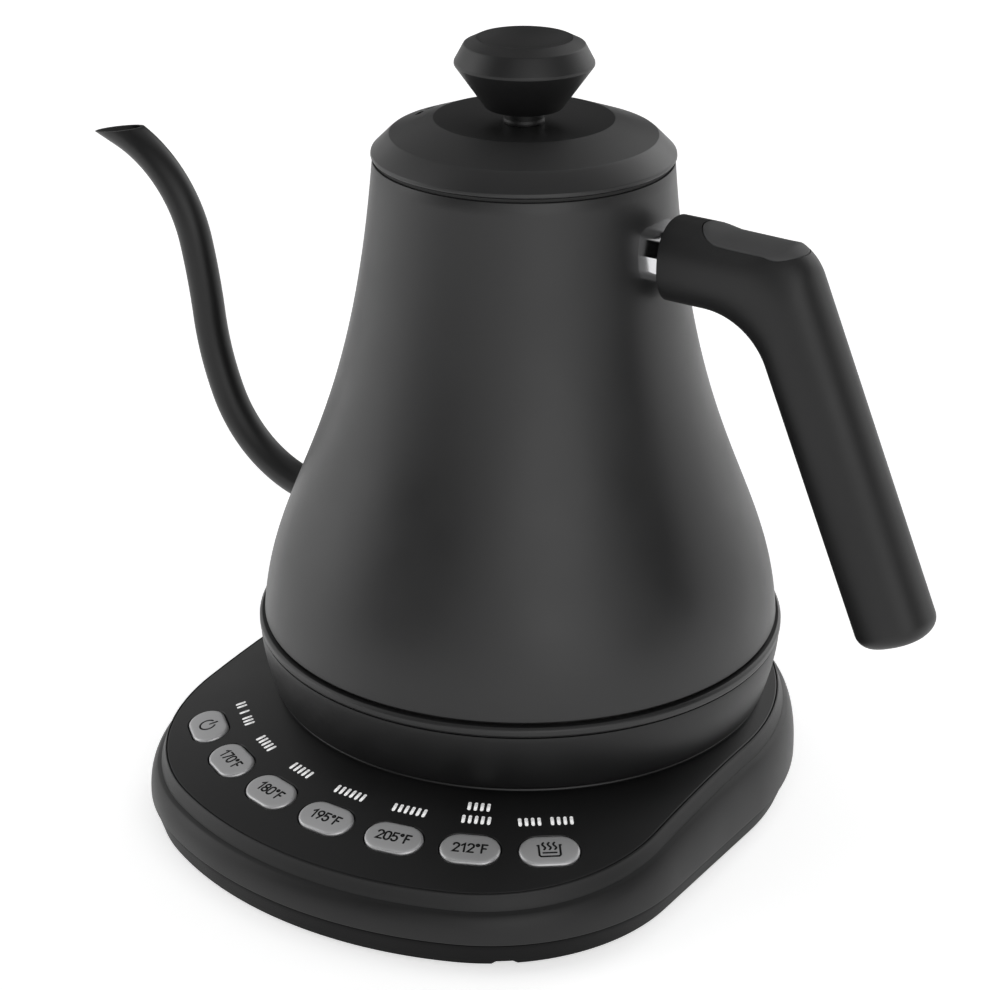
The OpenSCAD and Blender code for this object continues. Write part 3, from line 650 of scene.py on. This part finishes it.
def make_handle():
    """Grip with a pocket for the inlay and a socket for the neck, and the inlay flush in it."""
    grip = loft("grip_shell", grip_rings(), smooth_angle=40)
    place = arm_frame() @ Matrix.Translation((REST_X - COLLAR.x, 0, 0))
    skin = BVHTree.FromPolygons([v.co / MM for v in grip.data.vertices],
                                [tuple(p.vertices) for p in grip.data.polygons])
    down = place.to_3x3() @ Vector((0, 0, -1))

    def skin_height(x, y):
        start = 30
        distance = skin.ray_cast(place @ Vector((x, y, start)), down)[3]
        return start - distance

    floor = GRIP_D - REST_DEPTH
    pocket = stadium(REST_L + 2 * REST_GAP, REST_W + 2 * REST_GAP, 0, 24)
    cut(grip, prism("rest_pocket", pocket, floor, GRIP_D + 6, place), 40)
    axis = Matrix.Translation((COLLAR.x, 0, NECK_Z)) @ Matrix.Rotation(math.pi / 2, 4, "Y")
    outline = [(NECK_Z - z, y) for _, y, z in neck_section(0, 0.15)]
    cut(grip, prism("collar_recess", outline, -1, 1.5, axis), 40)
    declare(grip, "kettle", "grip_plastic", GRIP_PLASTIC, "handle_grip")

    rings = [placed(stadium(REST_L, REST_W, 0, 24), floor + 0.05, place)]
    rim = [(0, 0.3), (0.02, 0.16), (0.08, 0.06), (0.2, 0.01)]
    for inset, drop in rim + [(d, 0) for d in REST_INSETS]:
        rings.append([tuple(place @ Vector((x, y, skin_height(x, y) - drop)))
                      for x, y in stadium(REST_L, REST_W, inset, 24)])
    rest = loft("thumb_inlay", rings, smooth_angle=50)
    declare(rest, "kettle", "rest_plastic", REST_PLASTIC, "thumb_rest")


def neck_section(x, grow):
    """Section across the neck: flat top, sides that lean inwards above, round underside."""
    half = [(y * (1 + grow / NECK_W), z + grow * z / NECK_UP)
            for y, z in rounded(NECK_OUTLINE, NECK_ROUNDING, 10)]
    outline = half[1:-1] + [(-y, z) for y, z in reversed(half[1:-1])]
    return [(x, y, NECK_Z + z) for y, z in outline]


def make_bracket():
    """Polished neck that runs from the body's wall into the grip's collar."""
    rings = [neck_section(x, 0) for x in (36.0, 39.0, 42.0, 45.9)]
    neck = loft("handle_neck", rings, smooth_angle=45)
    declare(neck, "kettle", "polished_steel", POLISHED, "handle_bracket")


# ---------------------------------------------------------------- lid

LID_Z = low("lid_cover", 2)


def make_lid():
    """Turned cover with three vents in its top."""
    z = LID_Z
    points = [(36.6, 0.3), (38.2, 0.3), (38.4, 0.6), (38.3, 1.35), (34.4, 5.2), (33.7, 5.75),
              (22.7, 9.62), (22.1, 9.62), (14, 8.8), (6, 8.45), (3, 8.45), (3, 7.2), (14, 7.5),
              (22, 8.2), (33.4, 4.4), (36.6, 1.6)]
    radii = [0.1, 0.15, 0.3, 0.5, 0.3, 0.5, 0.2, 0.3, 8, 0.1, 0.1, 0.1, 0, 0, 0, 0]
    profile = rounded([(r, z + h) for r, h in points], radii)
    lid = lathe("lid_shell", profile, 256)
    for a in (169, 180, 191):
        place = Matrix.Rotation(math.radians(a), 4, "Z") @ Matrix.Translation((28.6, 0, z))
        place = place @ Matrix.Rotation(math.pi / 2, 4, "Z")
        cut(lid, prism("vent", stadium(3.6, 1.5), 1, 12, place))
    turned_normals(lid, profile)
    declare(lid, "lid", "painted_steel", LID_COAT, "lid_cover")


def make_knob():
    """Flared knob with a dished top, on a short stem."""
    z = low("lid_knob", 2)
    dish_r, dish_z, dish_depth = 11.4, 15.3, 2.0
    side = [(2.1, 0), (9.5, 0), (9.9, 0.3), (17.5, 10.9), (17.45, 11.6), (15.1, 15.9), (11.9, 17.45),
            (dish_r, dish_z + dish_depth)]
    dish = [(r, dish_z + dish_depth * (r / dish_r) ** 2)
            for r in (dish_r * (1 - k / 12) for k in range(1, 13))]
    points = side + dish + [(0, 8), (2.1, 8)]
    radii = [0, 0.2, 0.3, 0.6, 0.5, 0.8, 0.3, 0.3]
    radii += [0] * (len(points) - len(radii))
    knob = lathe("knob_shell", rounded([(r, z + h) for r, h in points], radii), 192)
    declare(knob, "lid", "knob_plastic", KNOB_PLASTIC, "lid_knob")
    bottom, top = low("knob_stem", 2), high("knob_stem", 2)
    stem = rounded([(2.1, bottom), (5.2, bottom), (5.2, bottom + 0.6), (5.0, bottom + 1.2), (5.0, top),
                    (2.1, top)], [0, 0.1, 0.3, 0.3, 0.1, 0])
    declare(lathe("knob_neck", stem, 96), "lid", "grip_plastic", GRIP_PLASTIC, "knob_stem")


# ---------------------------------------------------------------- base

PANEL_INSET = 0.7
FRONT_SHARE = 0.82
HALF_W = high("control_panel", 0) + PANEL_INSET
FRONT_R = -low("control_panel", 1) + FRONT_SHARE * PANEL_INSET
CORNER_R = 50.7
CORNER_X = HALF_W - CORNER_R
BACK_Y = -1.7
RING_R = 86.8
PANEL_Z = 23.0
PANEL_SLOPE = 0.2244
SEAM_Z = low("base_housing", 2)
FLARE = high("base_housing", 0) - HALF_W
LIP_DROP, LIP_FLARE, LIP_W = 3.9, 1.2, 0.6
LEDGE_W, LEDGE_DROP = 4.2, 1.85
SCREW_SPOTS = ((-58, -34), (58, -34), (-38, 49), (38, 49))
NOTCH_TURN = -58.3


def base_outline(d, steps=3):
    """Outline of the base, d outside the panel's edge: front arc, corners, sides, round back."""
    w, front, corner = HALF_W + d, FRONT_R + FRONT_SHARE * d, CORNER_R + d
    cy = -math.sqrt((front - corner) ** 2 - CORNER_X ** 2)
    a = math.atan2(cy, CORNER_X)
    out = []

    def arc(r, first, last, n, cx=0.0, centre_y=0.0):
        for i in range(n):
            t = first + (last - first) * i / n
            out.append((cx + r * math.cos(t), centre_y + r * math.sin(t)))

    def side(x, first, last, n):
        for i in range(n):
            out.append((x, first + (last - first) * i / n))

    arc(front, -math.pi - a, a, 24 * steps)
    arc(corner, a, 0, 12 * steps, CORNER_X, cy)
    side(w, cy, BACK_Y, 5 * steps)
    arc(w, 0, math.pi, 36 * steps, 0, BACK_Y)
    side(-w, BACK_Y, cy, 5 * steps)
    arc(corner, math.pi, math.pi - a, 12 * steps, -CORNER_X, cy)
    return out


def panel_height(r):
    return PANEL_Z - PANEL_SLOPE * (r - RING_R)


def panel_ring(d, drop):
    """Ring that follows the panel's fall."""
    return [(x, y, panel_height(math.hypot(x, y)) - drop) for x, y in base_outline(d)]


def level_ring(d, z):
    return [(x, y, z) for x, y in base_outline(d)]


def side_ring(t):
    """Ring of the bulging side, at fraction t from the seam up to the lip."""
    d = LIP_FLARE + (FLARE - LIP_FLARE) * math.sqrt(1 - 0.94 * t ** 2.5)
    return [(x, y, SEAM_Z + (panel_height(math.hypot(x, y)) - LIP_DROP - SEAM_Z) * t)
            for x, y in base_outline(d)]


def make_housing():
    """Ring of the base's side, from the rounded lip round the panel down to the seam."""
    edge = 0.45
    top = [panel_ring(-LIP_W, 0.25), panel_ring(-LIP_W + 0.12, 0.06), panel_ring(-LIP_W + 0.3, 0)]
    for k in range(6):
        a = math.pi / 2 * k / 5
        top.append(panel_ring(edge * math.sin(a) - edge, edge * (1 - math.cos(a))))
    band = [panel_ring(LIP_FLARE * t, edge + (LIP_DROP - 0.5 - edge) * t) for t in (0.35, 0.7, 0.93)]
    band.append(panel_ring(LIP_FLARE + 0.06, LIP_DROP - 0.12))
    side = [side_ring(t) for t in (0.985, 0.96, 0.92, 0.87, 0.8, 0.72, 0.63, 0.54, 0.45, 0.36,
                                   0.27, 0.18, 0.1, 0.045)]
    foot = [level_ring(FLARE, SEAM_Z + 0.28), level_ring(FLARE - 0.08, SEAM_Z + 0.08),
            level_ring(FLARE - 0.28, SEAM_Z), level_ring(FLARE - 2.2, SEAM_Z)]
    inside = [level_ring(FLARE - 2.2, SEAM_Z + 1.2), panel_ring(-1.4, LIP_DROP + 1.6),
              panel_ring(-LEDGE_W, LIP_DROP), panel_ring(-LEDGE_W, LEDGE_DROP),
              panel_ring(-LIP_W, LEDGE_DROP)]
    shell = loft("housing_shell", top + band + side + foot + inside, closed=True, smooth_angle=28)
    gland_z = (low("cord_gland", 2) + high("cord_gland", 2)) / 2
    place = Matrix.Translation((0, 60, gland_z)) @ Matrix.Rotation(-math.pi / 2, 4, "X")
    cut(shell, prism("gland_hole", round_outline(5.05, 48), 0, 30, place), 28)
    declare(shell, "base", "black_paint", BASE_PLASTIC, "base_housing")


def make_cover():
    """Tray under the base, with a drain notch and its screw holes."""
    z, top = low("bottom_cover", 2), high("bottom_cover", 2)
    low_flare, thick = 2.3, 2.0
    rings = [level_ring(low_flare - 0.6, z), level_ring(low_flare - 0.3, z + 0.06),
             level_ring(low_flare - 0.1, z + 0.2), level_ring(low_flare, z + 0.5)]
    for t in (0.25, 0.5, 0.75, 0.95):
        rings.append(level_ring(low_flare + (FLARE - 0.4 - low_flare) * t,
                                z + 0.5 + (top - z - 0.5) * t))
    rings += [level_ring(FLARE - 0.5, top - 0.05), level_ring(FLARE - 0.75, top),
              level_ring(FLARE - 2.6, top), level_ring(low_flare - 1.6, z + thick)]
    cover = loft("cover_tray", rings, smooth_angle=28)
    place = Matrix.Rotation(math.radians(NOTCH_TURN), 4, "Z") @ Matrix.Translation((90, 0, z - 1))
    outline = [(-3.8, 0), (3.8, 0), (3.4, 1), (2, 2), (-2, 2), (-3.4, 1)]
    notch = loft("notch", [[tuple(place @ Vector((x, y, h))) for y, h in outline] for x in (0, 20)])
    cut(cover, notch, 28)
    for x, y in SCREW_SPOTS:
        for r, height in ((3.4, 1.8), (1.6, 4)):
            place = Matrix.Translation((x, y, z - 1))
            cut(cover, prism("screw_hole", round_outline(r, 32), 0, height, place), 28)
    declare(cover, "base", "black_plastic", COVER_PLASTIC, "bottom_cover")


BUTTONS = ["button_power", "button_temp_1", "button_temp_2", "button_temp_3", "button_temp_4",
           "button_temp_5", "button_hold"]
BUTTON_STEP = 12.82
BUTTON_L, BUTTON_W = 15.0, 9.8
BUTTON_GAP = 0.3
BUTTON_TOP = 0.5


def button_frame(i, r=RING_R):
    """Frame on the panel at the i-th button: x along the button, y towards the kettle, z out."""
    fall = math.atan(PANEL_SLOPE)
    turn = Matrix.Rotation(math.radians(-90 + BUTTON_STEP * i), 4, "Z")
    place = Matrix.Translation((r, 0, panel_height(r)))
    return turn @ place @ Matrix.Rotation(fall, 4, "Y") @ Matrix.Rotation(math.pi / 2, 4, "Z")


def make_panel():
    """Sloping face with a pocket for each button and the kettle's seat."""
    seat_r, seat_z, bore = 66.2, high("control_panel", 2), 22.0
    bearing = [math.atan2(y, x) for x, y in base_outline(0)]

    def circle(r, z=None, drop=0.0):
        height = panel_height(r) - drop if z is None else z
        return [(r * math.cos(a), r * math.sin(a), height) for a in bearing]

    rings = [panel_ring(-LIP_W - 0.1, 0.3), panel_ring(-LIP_W - 0.2, 0.08),
             panel_ring(-LIP_W - 0.4, 0), circle(seat_r + 0.3), circle(seat_r + 0.05, None, -0.12),
             circle(seat_r - 0.1, seat_z - 0.15), circle(seat_r - 0.3, seat_z),
             circle(bore, seat_z), circle(bore, seat_z - 3),
             circle(seat_r - 1, seat_z - 3), circle(seat_r, None, 1.8), panel_ring(-LIP_W - 0.1, 1.8)]
    panel = loft("panel_plate", rings, closed=True, smooth_angle=25)
    outline = stadium(BUTTON_L + 2 * BUTTON_GAP, BUTTON_W + 2 * BUTTON_GAP, 0, 20)
    wide = stadium(BUTTON_L + 2 * BUTTON_GAP + 0.5, BUTTON_W + 2 * BUTTON_GAP + 0.5, 0, 20)
    levels = ((outline, -4), (outline, -0.25), (wide, 0.02), (wide, 3))
    for i in range(-3, 4):
        cut(panel, loft("pocket", [placed(line, z, button_frame(i)) for line, z in levels]), 25)
    fall = math.atan(PANEL_SLOPE)
    set_normals(panel, lambda p: Vector((math.sin(fall) * p.x, math.sin(fall) * p.y,
                                         math.cos(fall) * p.xy.length)).normalized(), 3)
    declare(panel, "base", "black_panel", PANEL_FILM, "control_panel")


def make_button(i, name):
    """Satin cap with a rolled edge and a barely crowned top."""
    edge, rise = 0.75, 0.7
    levels = [(0.5, -3.2), (0, -2.9), (0, BUTTON_TOP - edge)]
    for k in range(1, 7):
        a = math.pi / 2 * k / 6
        levels.append((edge * (1 - math.cos(a)), BUTTON_TOP - edge + rise * math.sin(a)))
    levels += [(1.4, BUTTON_TOP - 0.035), (2.4, BUTTON_TOP - 0.02), (3.6, BUTTON_TOP - 0.005),
               (4.7, BUTTON_TOP)]
    rings = [placed(stadium(BUTTON_L, BUTTON_W, inset, 20), z, button_frame(i))
             for inset, z in levels]
    cap = loft(name + "_cap", rings, smooth_angle=40)
    declare(cap, name, "button_silver", SILVER, name)


# ---------------------------------------------------------------- print


def ribbon(points, width, steps=8):
    """Flat stroke with round ends along a polyline, as (verts, faces) in the plane."""
    verts, faces = [], []
    half = width / 2
    pts = [Vector(p) for p in points]
    closed = (pts[0] - pts[-1]).length < 1e-6 and len(pts) > 2
    if closed:
        pts = pts[:-1]
    n = len(pts)
    for i, p in enumerate(pts):
        before = pts[(i - 1) % n] if closed or i > 0 else p
        after = pts[(i + 1) % n] if closed or i < n - 1 else p
        first = (p - before).normalized() if (p - before).length > 0 else (after - p).normalized()
        second = (after - p).normalized() if (after - p).length > 0 else first
        middle = (first + second).normalized()
        side = Vector((-middle.y, middle.x))
        stretch = 1 / max(0.5, math.sqrt((1 + first.dot(second)) / 2))
        verts += [p + side * half * stretch, p - side * half * stretch]
    count = n if closed else n - 1
    for i in range(count):
        a, b = 2 * i, 2 * ((i + 1) % n)
        faces.append((a, a + 1, b + 1, b))
    if not closed:
        for i, way in ((0, pts[0] - pts[1]), (n - 1, pts[-1] - pts[-2])):
            start = math.atan2(way.y, way.x) - math.pi / 2
            base = len(verts)
            verts += [pts[i] + half * Vector((math.cos(start + math.pi * k / steps),
                                              math.sin(start + math.pi * k / steps)))
                      for k in range(steps + 1)]
            faces.append(tuple(range(base, base + steps + 1)))
    return verts, faces


def arc_points(cx, cy, rx, ry, first, last, steps=18):
    return [(cx + rx * math.cos(math.radians(first + (last - first) * k / steps)),
             cy + ry * math.sin(math.radians(first + (last - first) * k / steps)))
            for k in range(steps + 1)]


# Strokes of the plain numerals in a cell 1 high and CELL_W wide, or as wide as CELL says
NUMERALS = {
    "0": [arc_points(0.28, 0.72, 0.28, 0.28, 0, 180) + arc_points(0.28, 0.28, 0.28, 0.28, 180, 360)
          + [(0.56, 0.72)]],
    "1": [[(0.04, 0.76), (0.32, 1.0), (0.32, 0.0)]],
    "2": [arc_points(0.28, 0.73, 0.27, 0.27, 165, -20) + [(0.02, 0.0), (0.56, 0.0)]],
    "5": [[(0.52, 1.0), (0.08, 1.0), (0.05, 0.56)] + arc_points(0.27, 0.32, 0.28, 0.31, 125, -150)],
    "7": [[(0.0, 1.0), (0.56, 1.0), (0.18, 0.0)]],
    "8": [arc_points(0.28, 0.76, 0.24, 0.24, -90, 270), arc_points(0.28, 0.26, 0.28, 0.26, -90, 270)],
    "9": [arc_points(0.28, 0.71, 0.28, 0.29, -35, 325), [(0.545, 0.60), (0.24, 0.0)]],
    "degree": [arc_points(0.15, 0.88, 0.12, 0.12, -90, 270)],
    "F": [[(0.05, 0.0), (0.05, 1.0), (0.50, 1.0)], [(0.05, 0.52), (0.42, 0.52)]],
}
CELL_W = 0.56
CELL = {"1": 0.44, "degree": 0.34, "F": 0.50}
CELL_GAP = 0.2
NUMERAL_H, NUMERAL_SQUEEZE, NUMERAL_STROKE = 2.75, 0.94, 0.54
PRINT_LIFT = 0.012
TEMPERATURES = ["170", "180", "195", "205", "212"]


def printed(name, strokes, width, place, lift, body, slot, material):
    """Thin print: flat strokes laid just proud of the surface under them."""
    verts, faces = [], []
    for stroke in strokes:
        v, f = ribbon(stroke, width)
        faces += [tuple(k + len(verts) for k in face) for face in f]
        verts += v
    flat = placed(verts, lift, place)
    obj = add_object(name, flat, faces)
    thick = obj.modifiers.new("thickness", "SOLIDIFY")
    thick.thickness = PRINT_LIFT * MM
    bake(obj)
    return declare(obj, body, slot, material)


def number_strokes(symbols):
    """Strokes of a row of numerals, centred on the origin."""
    width = sum(CELL.get(s, CELL_W) for s in symbols) + CELL_GAP * (len(symbols) - 1)
    x = -width / 2
    strokes = []
    for s in symbols:
        for stroke in NUMERALS[s]:
            strokes.append([((x + px) * NUMERAL_H * NUMERAL_SQUEEZE, (py - 0.5) * NUMERAL_H)
                            for px, py in stroke])
        x += CELL.get(s, CELL_W) + CELL_GAP
    return strokes


POWER_ICON = [arc_points(0, -0.15, 2.1, 2.1, 125, 415), [(0, 0.5), (0, 2.5)]]


def steam_line(x):
    return [(x + 0.34 * math.sin(2 * math.pi * t), 0.1 + 2.3 * t)
            for t in (k / 12 for k in range(13))]


PAN_ICON = [
    [(-2.85, 1.5), (-2.6, 1.5), (-2.6, -1.8), (-2.2, -2.2), (2.2, -2.2), (2.6, -1.8), (2.6, 1.5),
     (2.85, 1.5)],
    [(-1.6, -1.0), (1.6, -1.0)], steam_line(-1.35), steam_line(0), steam_line(1.35)]


def make_prints():
    """Dark symbols and numerals on the button caps."""
    prints = [("power_icon", POWER_ICON, 0.56)]
    for digits, name in zip(TEMPERATURES, BUTTONS[1:]):
        strokes = number_strokes([*digits, "degree", "F"])
        prints.append((name + "_numerals", strokes, NUMERAL_STROKE))
    prints.append(("hold_icon", PAN_ICON, 0.52))
    for i, (name, strokes, width) in enumerate(prints):
        printed(name, strokes, width, button_frame(i - 3), BUTTON_TOP + PRINT_LIFT, BUTTONS[i],
                "button_silver", DARK_PRINT)


# Rows of bars above each button; a blank leaves a space
MARKS = {-3: ["xx x xxx"], -2: ["xxxxx"], -1: ["xxxxx"], 0: ["xxxxxx"], 1: ["xxxxxx"],
         2: ["xxxx", "xxxxx"], 3: ["xxxx xxxx"]}
MARK_PITCH, MARK_LINE, MARK_OFFSET = 1.6, 4.6, 10.0
MARK_STROKE, MARK_REACH = 0.85, 1.0


def make_marks():
    """Pale marks printed above the buttons: rows of plain bars in place of words."""
    for i, rows in MARKS.items():
        place = button_frame(i, RING_R - MARK_OFFSET)
        strokes = []
        for line, row in enumerate(reversed(rows)):
            for k, mark in enumerate(row):
                x, y = (k - (len(row) - 1) / 2) * MARK_PITCH, line * MARK_LINE
                if mark == "x":
                    strokes.append([(x, y - MARK_REACH), (x, y + MARK_REACH)])
        printed(f"panel_mark_{i + 4}", strokes, MARK_STROKE, place, PRINT_LIFT, "base",
                "black_panel", PALE_PRINT)


# ---------------------------------------------------------------- stage


def make_floor():
    """Pale floor, flat as far as any view reaches."""
    reach = 6.0
    mesh = bpy.data.meshes.new("floor")
    mesh.from_pydata([(-reach, -reach, 0), (reach, -reach, 0), (reach, reach, 0), (-reach, reach, 0)],
                     [], [(0, 1, 2, 3)])
    floor = bpy.data.objects.new("floor", mesh)
    bpy.context.scene.collection.objects.link(floor)
    paper = surface("floor_paper", (0.86, 0.86, 0.86), 0.9, 60, 0.0, spread_of_tone=0.004,
                    spread_of_gloss=0.02)
    glow(paper, 0.6)
    mesh.materials.append(paper)


OBJECT_TURN = math.radians(33.4)
CAMERA_PLACE = (0.32476, -0.49263, 0.34473)
CAMERA_PITCH, CAMERA_YAW, CAMERA_ROLL = 0.4233, -0.0116, 0.0033
CAMERA_LENS = 88.445


def make_camera():
    """Camera where the photograph was taken from."""
    data = bpy.data.cameras.new("camera")
    data.lens = CAMERA_LENS
    data.sensor_width = 36
    camera = bpy.data.objects.new("camera", data)
    bpy.context.scene.collection.objects.link(camera)
    ahead = Vector((math.sin(CAMERA_YAW) * math.cos(CAMERA_PITCH),
                    math.cos(CAMERA_YAW) * math.cos(CAMERA_PITCH), -math.sin(CAMERA_PITCH)))
    right = Vector((math.cos(CAMERA_YAW), -math.sin(CAMERA_YAW), 0))
    up = right.cross(ahead)
    c, s = math.cos(CAMERA_ROLL), math.sin(CAMERA_ROLL)
    right, up = right * c + up * s, up * c - right * s
    place = Matrix.Rotation(OBJECT_TURN, 4, "Z") @ frame_of(right, up, -ahead, Vector((0, 0, 0)))
    place.translation = Vector(CAMERA_PLACE)
    camera.matrix_world = place
    bpy.context.scene.camera = camera


def area_light(name, spot, target, size, power):
    """Square soft box at a place given right, away and up from the object as the camera sees it."""
    data = bpy.data.lights.new(name, "AREA")
    data.shape = "RECTANGLE"
    data.size, data.size_y = size, size
    data.energy = power
    light = bpy.data.objects.new(name, data)
    bpy.context.scene.collection.objects.link(light)
    turn = Matrix.Rotation(OBJECT_TURN, 4, "Z")
    place = turn @ Vector(spot)
    aim = turn @ Vector(target)
    facing = (aim - place).to_track_quat("-Z", "Y").to_matrix().to_4x4()
    light.matrix_world = Matrix.Translation(place) @ facing


# Soft lights of the studio sky, by degrees up: degrees to the right of straight behind, level.
# Each one fades to nothing SOFT_REACH degrees from its middle.
SOFT_LIGHTS = {
    10: [(-160, 0.6), (-80, 1.7), (-40, 0.8), (40, 1.4), (80, 0.8), (160, 1.8)],
    34: [(-90, 0.8), (-20, 0.3), (45, 1.1), (135, 0.6), (180, 0.8)],
    60: [(-60, 0.4), (60, 0.6)],
    90: [(0, 0.5)],
}
SOFT_REACH = 30


def soft_light(nodes, links, direction, azimuth, height, level):
    """Patch of light in the sky, full at its middle and fading towards SOFT_REACH."""
    a, e = math.radians(azimuth), math.radians(height)
    axis = Vector((math.sin(a) * math.cos(e), math.cos(a) * math.cos(e), math.sin(e)))
    along = nodes.new("ShaderNodeVectorMath")
    along.operation = "DOT_PRODUCT"
    along.inputs[1].default_value = Matrix.Rotation(OBJECT_TURN, 3, "Z") @ axis
    links.new(direction, along.inputs[0])
    patch = nodes.new("ShaderNodeMapRange")
    patch.interpolation_type = "SMOOTHSTEP"
    patch.inputs["From Min"].default_value = math.cos(math.radians(SOFT_REACH))
    patch.inputs["From Max"].default_value = 1
    patch.inputs["To Max"].default_value = level
    links.new(along.outputs["Value"], patch.inputs["Value"])
    return patch.outputs["Result"]


def make_world():
    """Studio sky: broad soft patches of light round the object, dark between them."""
    world = bpy.data.worlds.new("studio")
    world.use_nodes = True
    nodes, links = world.node_tree.nodes, world.node_tree.links
    background = next(n for n in nodes if n.type == "BACKGROUND")
    direction = nodes.new("ShaderNodeTexCoord").outputs["Generated"]
    patches = [soft_light(nodes, links, direction, azimuth, height, level)
               for height, row in SOFT_LIGHTS.items() for azimuth, level in row]
    total = patches[0]
    for patch in patches[1:]:
        both = nodes.new("ShaderNodeMath")
        links.new(total, both.inputs[0])
        links.new(patch, both.inputs[1])
        total = both.outputs["Value"]
    links.new(total, background.inputs["Strength"])
    background.inputs["Color"].default_value = (1, 1, 1, 1)
    bpy.context.scene.world = world


def make_lights():
    make_world()
    bpy.context.scene.view_settings.view_transform = "Standard"
    area_light("fill", (0.7, -1.5, 1.4), (0, 0, 0.08), 1.2, 0.6)


dress_nodes()
make_body()
make_trim()
make_skirt()
make_spout()
make_handle()
make_bracket()
make_lid()
make_knob()
make_housing()
make_cover()
make_panel()
for index, button in enumerate(BUTTONS):
    make_button(index - 3, button)
make_prints()
make_marks()
make_floor()
make_camera()
make_lights()
